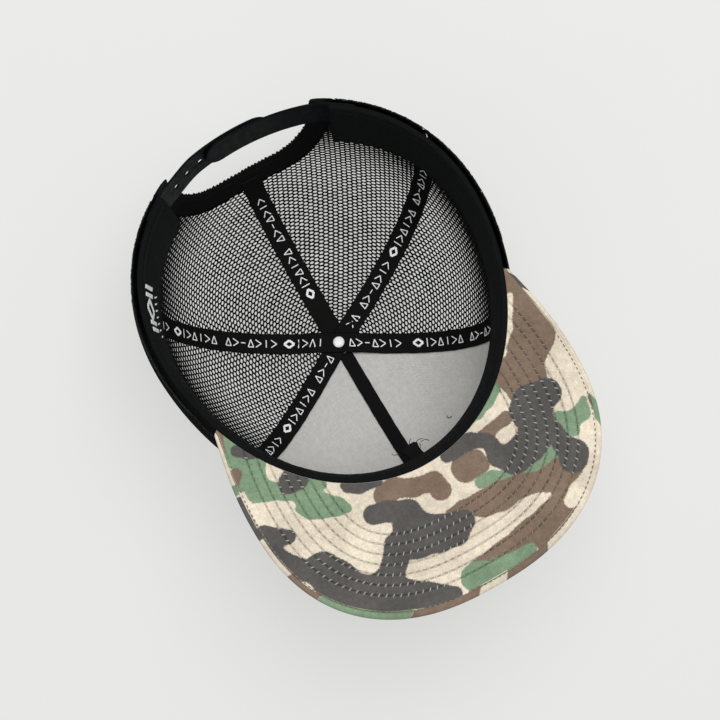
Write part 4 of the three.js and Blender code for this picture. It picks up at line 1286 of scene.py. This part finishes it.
def make_tapes():
    """Four tapes: two that cross the top, and two short ones that end below the crossing."""
    look = plain_cloth("black_woven_tape", (0.0032, 0.0032, 0.0034), 0.75, 0.75, 0.05, 0.25)
    yarn = plain_cloth("black_sewing_thread", (0.0065, 0.0065, 0.007), 0.55, 0.4, 0.03)
    ink = plain_cloth("white_print", (0.78, 0.78, 0.78), 0.75, 0.6, 0.03, 0.12)
    cross = Tape((120, 300), TAPE_FOOT_Z, TAPE_WIDTH, CROSSING_RISE)
    diagonal = Tape((60, 240), TAPE_FOOT_Z, TAPE_WIDTH)
    back = Tape((180,), ARCH_HEIGHT + BINDING_TOP / 2, TAPE_WIDTH)
    front = Tape((0,), FRONT_TAPE_FOOT_Z, FRONT_TAPE_WIDTH)
    made = {"cross": cross, "diagonal": diagonal, "back": back, "front": front}
    for name, tape in made.items():
        tape_piece(f"tape_{name}", tape, look, f"seam_tape_{name}")
        tape_stitching(f"tape_{name}_stitching", tape, yarn)
    foot, half, end = 4, cross.length / 2, cross.length - 4
    rivet = RIVET_HEAD_R + 0.5
    beside_rivet = [(foot, half - rivet), (half + rivet, end)]
    tape_print("tape_cross_print", cross, (-14.5, 55.8, 124.8, 196.6, 267), ink, beside_rivet)
    near, far = half - TAPE_WIDTH / 2 - 1, half + TAPE_WIDTH / 2 + 1
    tape_print("tape_diagonal_print", diagonal, (20.9, 91.2), ink, [(foot, near)])
    tape_print("tape_diagonal_print_far", diagonal, (139.8, 208.6, 279), ink, [(far, end)])
    tape_print("tape_back_print", back, (80.7,), ink, [(foot, back.length - 12)], sign=-1)


# ---- Half-moon binding --------------------------------------------------------------------------

SCALLOP_PITCH, BINDING_STEPS, BINDING_FOOT_Z = 2.2, 700, 0.8


def wall_at(x, z):
    """Azimuth and share of the back wall at a sideways distance and height."""
    azimuth = np.full(np.shape(x), 180.0)
    for _ in range(12):
        share = share_at_height(azimuth, z)
        at = meridian(azimuth, share)
        radius = np.maximum(np.hypot(at[..., 0], at[..., 1]), 1)
        azimuth = 180 - np.degrees(np.arcsin(np.clip(x / radius, -1, 1)))
    return azimuth, share_at_height(azimuth, z)


def arch_line(turn, side, top):
    """x and z along the half-moon outline enlarged by margins; turn runs from 0 to pi."""
    cosine, sine = np.cos(turn), np.sin(turn)
    x = (ARCH_HALF_WIDTH + side) * np.sign(cosine) * np.abs(cosine) ** (2 / ARCH_POWER)
    return x, (ARCH_HEIGHT + top) * np.maximum(0, sine) ** (2 / ARCH_POWER)


def make_binding():
    """A folded strip round the gap: scalloped knit at the gap's edge and two rows of stitching."""
    coarse = np.linspace(0, np.pi, 4001)
    x, z = arch_line(coarse, 0, 0)
    distance = np.concatenate([[0], np.cumsum(np.hypot(np.diff(x), np.diff(z)))])
    s = np.linspace(0, distance[-1], BINDING_STEPS)
    turn = np.interp(s, distance, coarse)[:, None]
    section = [(-0.02, 0.7), (0.0, 0.15), (0.1, -0.15), (0.3, -0.25), (0.6, -0.25), (0.88, -0.2), (1.0, 0.1),
               (1.0, 1.2), (0.88, 1.55), (0.6, 1.65), (0.3, 1.65), (0.1, 1.5), (0.0, 1.2)]
    reach = np.array([a for a, _ in section])[None]
    depth = np.array([d for _, d in section])[None]
    bumps = np.abs(np.sin(np.pi * s / SCALLOP_PITCH + 0.6 * np.sin(s / 5))) * (1.1 + 0.25 * np.sin(s * 1.7))
    scallop = bumps[:, None] * np.clip(1 - reach * 5, 0, 1)
    x, z = arch_line(turn, BINDING_SIDE * reach - scallop, BINDING_TOP * reach - scallop)
    azimuth, share = wall_at(x, np.maximum(z, BINDING_FOOT_Z))
    fold = 0.12 * np.sin(s[:, None] / 4.3) + 0.08 * np.sin(s[:, None] / 1.9)
    points, faces = loft(crown_point(azimuth, share, np.broadcast_to(depth, x.shape) + fold))
    look = plain_cloth("black_binding", (0.0038, 0.0038, 0.0041), 0.8, 0.9, 0.06, 0.3)
    along = np.broadcast_to(s[:, None], x.shape)
    values = {"cloth_x": along.ravel(), "cloth_y": (reach + 0 * x).ravel() * 10}
    ride(piece("gap_binding", points, faces, look, "black_tape", values), "arch_binding")
    yarn = plain_cloth("black_binding_thread", (0.0075, 0.0075, 0.008), 0.55, 0.4, 0.03)
    shapes = []
    for across, deep, facing in ((0.2, 1.66, -1), (0.82, 1.6, -1), (0.2, -0.24, 1), (0.82, -0.22, 1)):
        x, z = arch_line(turn[:, 0], BINDING_SIDE * across, BINDING_TOP * across)
        azimuth, share = wall_at(x, np.maximum(z, BINDING_FOOT_Z))
        shapes.append(wall_stitches(azimuth, share, deep, 0.0, 2.8, 2.0, facing))
    ride(piece("gap_binding_stitching", *joined(shapes), yarn, "black_tape"))


# ---- Sweatband ----------------------------------------------------------------------------------


BAND_SEWN_TO = BACK - BAND_END_ANGLE - 2
MARK_FROM, MARK_DASHES, MARK_DASH_PITCH = 107.5, 7, 2.3


def band_lean(azimuth):
    """How far the sweatband's upper edge leans in."""
    a = np.radians(azimuth)
    return BAND_LEAN + BAND_LEAN_FRONT * np.cos(a) + BAND_LEAN_OVAL * np.cos(2 * a)


def band_point(azimuth, share, inward):
    """A point of the sweatband: share of its height, and distance in from the rim's line."""
    lower = np.where(np.abs(azimuth) < 90, brim_arch(rim_point(azimuth)[..., 0]), 0)
    z = lower + (BAND_HEIGHT - lower) * share
    at = outward(azimuth) * (rim_radius(azimuth) - inward - band_lean(azimuth) * share)[..., None]
    at[..., 2] = z
    return at


def band_layer(name, section, steps, look, slot, node):
    """A layer of the sweatband from a closed section of (share of the height, distance inward)."""
    reach = BACK - BAND_END_ANGLE
    azimuth = np.broadcast_to(np.linspace(-reach, reach, steps)[:, None], (steps, len(section)))
    share = np.array([a for a, _ in section])[None] + 0 * azimuth
    inward = np.array([b for _, b in section])[None] + 0 * azimuth
    puckers = 0.12 * np.sin(azimuth * 2.1 + 3 * share) * np.sin(azimuth * 0.37)
    puckers = puckers + 0.1 * np.sin(azimuth * 0.8 + 5 * share)
    inward = inward + puckers * np.clip(share * (1 - share) * 4, 0, 1)
    points, faces = loft(band_point(azimuth, share, inward))
    along = azimuth * math.radians(1) * RIM_MEAN
    values = {"cloth_x": along.ravel(), "cloth_y": (share * BAND_HEIGHT).ravel()}
    return ride(piece(name, points, faces, look, slot, values), node)


def make_sweatband():
    """The cloth cover round a thin foam, with a stitched row near each edge."""
    foot = [(0.045, 1.5), (0.045, 0.22), (0.1, 0.18), (0.11, -0.2), (0.08, -0.36), (0.01, -0.36), (0.0, 0.3),
            (-0.008, 1.4)]
    inner = [(0.0, 2.3), (0.03, 2.6), (0.09, 2.62), (0.12, 2.45), (0.16, 2.7), (0.3, 3.0), (0.5, 3.1),
             (0.7, 3.0), (0.84, 2.75), (0.88, 2.5), (0.92, 2.72), (0.975, 2.6), (1.0, 2.1)]
    outer = [(0.975, 1.65), (0.8, 1.5), (0.5, 1.5), (0.2, 1.5), (0.07, 1.5)]
    cloth = plain_cloth("black_band_cloth", (0.0030, 0.0035, 0.0036), 0.85, 1.0, 0.06, 0.3)
    band_layer("sweatband", foot + inner + outer, 300, cloth, "black_band", "sweatband_cover")
    filling = [(0.06, 0.35), (0.06, 1.15), (0.3, 1.2), (0.7, 1.2), (0.93, 1.1), (0.93, 0.35), (0.5, 0.3)]
    foam = plain_cloth("band_foam", (0.05, 0.05, 0.05), 0.95, 1.4, 0.1)
    padding = band_layer("sweatband_foam", filling, 160, foam, "black_band", "sweatband_padding")
    yarn = plain_cloth("black_band_thread", (0.009, 0.009, 0.009), 0.55, 0.4, 0.03)
    shapes = []
    for share, inward in ((0.12, 2.5), (0.88, 2.55)):
        azimuth = np.linspace(-BAND_SEWN_TO, BAND_SEWN_TO, 900)
        line = band_point(azimuth, np.full(900, share), np.full(900, inward))
        centres, along = every(line, 3.0)
        shapes.append(stitches(centres, along, unit(-centres * [1, 1, 0]), 2.1, 0.22))
    ride(piece("sweatband_stitching", *joined(shapes), yarn, "black_band"))
    make_band_mark()


def make_band_mark():
    """A generic heat-pressed mark: an open diamond between slanted bars, with a row of dashes above."""
    low, middle, high = 0.1, 0.28, 0.46
    diamond = [(112, middle), (115.2, high), (118.4, middle), (115.2, low)]
    strokes = [(diamond[k], diamond[(k + 1) % 4], 2.2) for k in range(4)]
    for start in (MARK_FROM, 110.0, 119.4, 121.9):
        strokes.append(((start, low), (start + 1.2, high), 2.0))
    for k in range(MARK_DASHES):
        start = MARK_FROM + MARK_DASH_PITCH * k
        strokes.append(((start, 0.6), (start + 0.9, 0.7), 0.7))
    shapes = []
    for (a0, s0), (a1, s1), width in strokes:
        azimuth, share = np.linspace(a0, a1, 6), np.linspace(s0, s1, 6)
        line = band_point(azimuth, share, np.full(6, 3.0))
        ahead = unit(np.gradient(line, axis=0))
        inward = unit(-line * [1, 1, 0])
        aside = unit(np.cross(inward, ahead)) * width / 2
        left, right, lift = line - aside, line + aside, inward * 0.3
        shapes.append(loft(np.stack([left, right, right + lift, left + lift], 1)))
    ink = plain_cloth("band_mark_white", (0.78, 0.80, 0.80), 0.6, 0.6, 0.02, 0.1)
    ride(piece("sweatband_mark", *joined(shapes), ink, "black_band", smooth=False))


# ---- Snap strap ---------------------------------------------------------------------------------

# The snaps have narrower holes than the CAD model's, and pegs with a neck and a head.
HOLE_R, PEG_R, PEG_NECK_R = 1.55, 1.8, 1.2
CELL_STEPS = 6
EDGE_ROUND, SHARP_FROM, SMOOTH_TO = 0.22, 40, 30
PEG_SIDES = 24
STRAP_MIDDLE_Z = STRAP_BOTTOM + STRAP_WIDTH / 2
BEND_HALF = 1.6


def strap_point(from_back, z, offset):
    """A point of the strap, degrees round from the middle of the back; it bows flatter than the rim."""
    bow = np.maximum(0, 1 - (from_back / STRAP_HALF_ANGLE) ** 2)
    at = rim_point(BACK + from_back, offset - STRAP_FLATTENING * bow - STRAP_LEAN * z)
    at[..., 2] = z
    return at


def hole_strap_offset(from_back):
    """The holed strap lies on the cap at its root, and steps out over the other strap."""
    lapped = smoothstep(from_back, -HINGE_ANGLE, -HINGE_ANGLE + 12)
    return STRAP_SEAT + lapped * (STRAP_THICKNESS + STRAP_LAP)


def peg_strap_offset(from_back):
    """The strap with pegs keeps to its seat all the way."""
    return STRAP_SEAT + 0 * from_back


def cell(low, high, hole_r):
    """Flat points and faces of one stretch of strap, with a round hole where a radius is given."""
    span, half = high - low, STRAP_WIDTH / 2
    if not hole_r:
        columns = max(2, int(abs(span) / 2) + 1)
        along, across = np.linspace(low, high, columns), np.linspace(-half, half, CELL_STEPS + 1)
        x, y = np.meshgrid(along, across, indexing="ij")
        return np.stack([x.ravel(), y.ravel()], -1), grid_faces(columns, CELL_STEPS + 1).tolist()
    t = np.linspace(0, 1, CELL_STEPS + 1)[:-1]
    box = np.concatenate([
        np.stack([np.full(CELL_STEPS, high), -half + 2 * half * t], -1),
        np.stack([high - span * t, np.full(CELL_STEPS, half)], -1),
        np.stack([np.full(CELL_STEPS, low), half - 2 * half * t], -1),
        np.stack([low + span * t, np.full(CELL_STEPS, -half)], -1),
    ])
    centre = np.array([(low + high) / 2, 0])
    angle = np.linspace(0, 2 * np.pi, 4 * CELL_STEPS, endpoint=False) - np.pi / 4
    circle = np.stack([np.cos(angle), np.sin(angle)], -1)
    rings = [centre + circle * (hole_r + wider) for wider in (0, 0.35, 1.1)] + [box]
    return np.concatenate(rings), grid_faces(len(rings), 4 * CELL_STEPS, wrap_columns=True).tolist()


def strap_piece(name, side, tip_angle, offset, hole_angles, look):
    """One strap from its sewn root to its round tip."""
    root_angle, hinge_angle = side * ROOT_END_ANGLE, side * HINGE_ANGLE
    degree = math.radians(1) * rim_radius(np.float64(BACK))
    sign = 1 if tip_angle > root_angle else -1
    tip = abs(tip_angle - root_angle) * degree
    cuts, holes = [0.0], []
    for angle in hole_angles:
        middle = abs(angle - root_angle) * degree
        cuts += [middle - SNAP_PITCH * degree / 2, middle + SNAP_PITCH * degree / 2]
        holes.append(middle)
    cuts = sorted(set(np.round(cuts + [tip], 3)))
    shapes = []
    for low, high in zip(cuts, cuts[1:]):
        holed = any(low < middle < high and high - low < SNAP_PITCH * degree + 1 for middle in holes)
        shapes.append(cell(low, high, HOLE_R if holed else 0))
    flat, faces = joined([(np.column_stack([p, np.zeros(len(p))]), f) for p, f in shapes])
    flat, faces = welded(flat, faces)
    left = np.clip((tip - flat[:, 0]) / (STRAP_WIDTH / 2), 0, 1)
    flat[:, 1] *= np.sqrt(np.maximum(0.02, 1 - (1 - left) ** 2))
    angle, z = root_angle + sign * flat[:, 0] / degree, STRAP_MIDDLE_Z + flat[:, 1]
    sides = [strap_point(angle, z, offset(angle) + lift) for lift in (0.0, STRAP_THICKNESS)]
    made = piece(name, *thickened(sides, faces), look, "strap_plastic")
    soften(made)
    bend = [hinge_angle - sign * BEND_HALF, hinge_angle + sign * BEND_HALF]
    start, end = (strap_point(np.float64(at), np.float64(STRAP_MIDDLE_Z), 0.8) * MM for at in bend)
    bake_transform(made)
    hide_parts(f"{name}_root", f"{name}_tongue")


def welded(points, faces):
    """Merges points that lie in the same place."""
    keys = np.round(points * 200).astype(int)
    _, chosen, new = np.unique(keys, axis=0, return_index=True, return_inverse=True)
    new = new.ravel()
    return points[chosen], [[int(new[k]) for k in face] for face in faces]


def thickened(sides, faces):
    """A plate from its two sides' points: the faces on both, and a wall round every open edge."""
    count = len(sides[0])
    points = np.concatenate(sides)
    edges = {}
    for face in faces:
        for a, b in zip(face, face[1:] + face[:1]):
            edges[(a, b)] = edges.get((a, b), 0) + 1
    walls = [[b, a, a + count, b + count] for (a, b) in edges if (b, a) not in edges]
    return points, faces + [[k + count for k in reversed(face)] for face in faces] + walls


def soften(made):
    """Makes faces point out and rounds the sharp edges, as a mould does."""
    mesh = made.data
    work = bmesh.new()
    work.from_mesh(mesh)
    bmesh.ops.recalc_face_normals(work, faces=work.faces)
    limit = math.radians(SHARP_FROM)
    sharp = [e for e in work.edges if len(e.link_faces) == 2 and e.calc_face_angle() > limit]
    width = EDGE_ROUND * MM
    bmesh.ops.bevel(work, geom=sharp, offset=width, segments=2, affect="EDGES", clamp_overlap=True)
    work.to_mesh(mesh)
    work.free()
    mesh.polygons.foreach_set("use_smooth", np.ones(len(mesh.polygons), bool))
    mesh.set_sharp_from_angle(angle=math.radians(SMOOTH_TO))
    mesh.update()


def peg_shapes():
    """Round snap pegs with a soft shoulder and a dimple in the tip."""
    shapes = []
    height = STRAP_THICKNESS + PEG_HEIGHT
    profile = [(PEG_R, 0.6), (PEG_R, STRAP_THICKNESS + 0.15), (PEG_NECK_R, STRAP_THICKNESS + 0.4),
               (PEG_NECK_R, height - 0.65), (PEG_R, height - 0.45), (PEG_R - 0.1, height - 0.15),
               (PEG_NECK_R, height), (0.7, height - 0.05), (0.5, height - 0.35), (0.05, height - 0.4)]
    turn = np.linspace(0, 2 * np.pi, PEG_SIDES, endpoint=False)
    cosine, sine = np.cos(turn)[:, None], np.sin(turn)[:, None]
    for k in range(PEG_COUNT):
        angle, middle = np.float64(FIRST_PEG_ANGLE + k * SNAP_PITCH), np.float64(STRAP_MIDDLE_Z)
        seat = strap_point(angle, middle, STRAP_SEAT)
        along = unit(strap_point(angle + 1, middle, STRAP_SEAT) - strap_point(angle - 1, middle, STRAP_SEAT))
        up = unit(strap_point(angle, middle + 1, STRAP_SEAT) - strap_point(angle, middle - 1, STRAP_SEAT))
        out = np.cross(along, up)
        rings = [seat + out * z + r * (along * cosine + up * sine) for r, z in profile]
        shapes.append(loft(np.stack(rings)))
    return shapes


def make_straps():
    """Both halves of the snap strap, with the pegs on the wearer's right one."""
    look = moulded("black_strap_plastic", (0.0020, 0.0028, 0.0035), 0.45)
    holes = [FIRST_HOLE_ANGLE + SNAP_PITCH * k for k in range(HOLE_COUNT)]
    strap_piece("hole_strap", -1, HOLE_TIP_ANGLE, hole_strap_offset, holes, look)
    strap_piece("peg_strap", 1, PEG_TIP_ANGLE, peg_strap_offset, [], look)
    ride(piece("snap_pegs", *joined(peg_shapes()), look, "strap_plastic"), body="peg_strap")


# ---- Button, rivet and loose threads ------------------------------------------------------------


TURNED_SIDES, DOME_STEPS = 72, 14
BUTTON_PRINT_SHIFT = (-30, -130)


def turned(name, profile, look, slot, node, wrinkle=0.0, values=False):
    """A round part on the crown's axis, from radius and height pairs."""
    turn = np.linspace(0, 2 * np.pi, TURNED_SIDES, endpoint=False)
    rings = []
    for r, z in profile:
        radius = r * (1 + wrinkle * np.sin(turn * 9 + z) * (r / profile[0][0]) ** 2)
        height = np.full(TURNED_SIDES, CROWN_HEIGHT + z)
        rings.append(np.stack([radius * np.cos(turn), APEX_Y + radius * np.sin(turn), height], -1))
    points, faces = loft(np.stack(rings))
    shift_x, shift_y = BUTTON_PRINT_SHIFT
    carried = print_values(points[:, 0] + shift_x, points[:, 1] + shift_y) if values else ()
    return ride(piece(name, points, faces, look, slot, carried), node)


def make_button():
    """The cloth-covered button, and the rivet through it with its round head inside the cap."""
    arc = np.linspace(0, math.pi / 2 - 0.02, DOME_STEPS)
    dome = [(BUTTON_R * math.cos(a), BUTTON_LIFT + BUTTON_HEIGHT * math.sin(a)) for a in arc]
    tucked = [(BUTTON_R - 1.2, BUTTON_LIFT - 0.15), (BUTTON_R - 0.2, BUTTON_LIFT - 0.1)]
    cloth = camo_material("camo_button")
    turned("button_cloth", tucked + dome, cloth, "camo_cloth", "top_button_cover", 0.02, values=True)
    base = -(TAPE_DEPTH_FRONT + CROSSING_RISE + TAPE_THICKNESS) - 0.3
    arc = np.linspace(math.pi / 2 - 0.03, 0, DOME_STEPS)
    head = [(RIVET_HEAD_R * math.cos(a) ** 0.8, base - RIVET_HEAD_HEIGHT * math.sin(a) ** 1.3) for a in arc]
    rivet = head + [(RIVET_HEAD_R - 0.1, base + 0.15), (SHANK_R, base + 0.2), (SHANK_R, 0.3), (0.05, 0.3)]
    white = moulded("white_enamel", (0.88, 0.88, 0.88), 0.45)
    turned("rivet", rivet, white, "rivet_metal", "button_rivet")


def loose_thread(start, heading, length, curl, radius):
    """A frayed end: a thin thread that curls away over the cloth."""
    steps = 14
    position, direction = np.array(start, float), np.array(heading, float)
    points = [position]
    for _ in range(steps):
        turn = Matrix.Rotation(curl * (0.6 + 0.8 * rng.random()), 3, "Z")
        direction = unit(np.array(turn @ Vector(direction)) + rng.normal(0, 0.12, 3))
        position = position + direction * length / steps
        points.append(position)
    return thread(points, radius, 5)


def make_front_tab():
    """The front tape's cut end, folded out over the sweatband's top edge."""
    section = [(-1, 0), (-0.9, 0.32), (0, 0.42), (0.9, 0.32), (1, 0), (0.9, -0.32), (0, -0.3), (-0.9, -0.32)]
    across = np.array([a for a, _ in section])
    lift = np.array([h for _, h in section])
    path = [(-89.5, 34, 3.7), (-87.5, 36.2, 3.8), (-84.8, 37.6, 4.0), (-81.8, 38.4, 4.9), (-80.8, 38.5, 4.2)]
    rows = []
    for k, (y, z, half) in enumerate(path):
        rows.append(np.stack([across * half + 0.5 * k, y + 0.6 * lift, z + lift], -1))
    look = plain_cloth("tab_cloth", (0.0032, 0.0032, 0.0034), 0.75, 0.75, 0.05, 0.25)
    ride(piece("front_tape_tab", *loft(np.stack(rows)), look, "black_tape"))


def make_loose_threads():
    """Frayed ends round the folded tab, and two loose ends on the backing."""
    yarn = plain_cloth("frayed_thread", (0.006, 0.006, 0.006), 0.7, 0.4, 0.03)
    shapes = []
    for k, x in enumerate(np.linspace(-5, 6, 10)):
        start = (x, -82.8 + 0.5 * (k % 3), 38.6)
        heading = (0.25 * x + 0.3, 0.5 - 0.9 * (k % 2), 0.15)
        shapes.append(loose_thread(start, heading, 3 + 2.5 * rng.random(), 0.12, 0.17))
    for azimuth, z, length in ((-24, 101, 2.4), (-25, 100.5, 1.6)):
        start = crown_point(np.float64(azimuth), share_at_height(azimuth, z), np.float64(3.1))
        shapes.append(loose_thread(start, (0.9, 0.1, 0.25), length, 0.05, 0.2))
    ride(piece("loose_threads", *joined(shapes), yarn, "black_tape"))


def finish_hidden_nodes():
    """The board and the button's core keep the CAD model's shapes, with plain looks."""
    board = moulded("board_plastic", (0.62, 0.62, 0.58), 0.55)
    core = moulded("button_core_metal", (0.55, 0.55, 0.55), 0.4)
    for node, look in (("visor_board", board), ("top_button_core", core)):
        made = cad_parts[node]
        made.data.materials.clear()
        made.data.materials.append(look)


make_camera()
make_stage()
make_under_cover()
make_top_cover()
make_brim_stitching()
make_net_panels()
make_net_hem()
make_front_panels()
make_outer_stitching()
make_tapes()
make_binding()
make_sweatband()
make_straps()
make_button()
make_front_tab()
make_loose_threads()
finish_hidden_nodes()


def corners(box):
    """A box's two corners as plain lists."""
    return [[float(x) for x in corner] for corner in box]
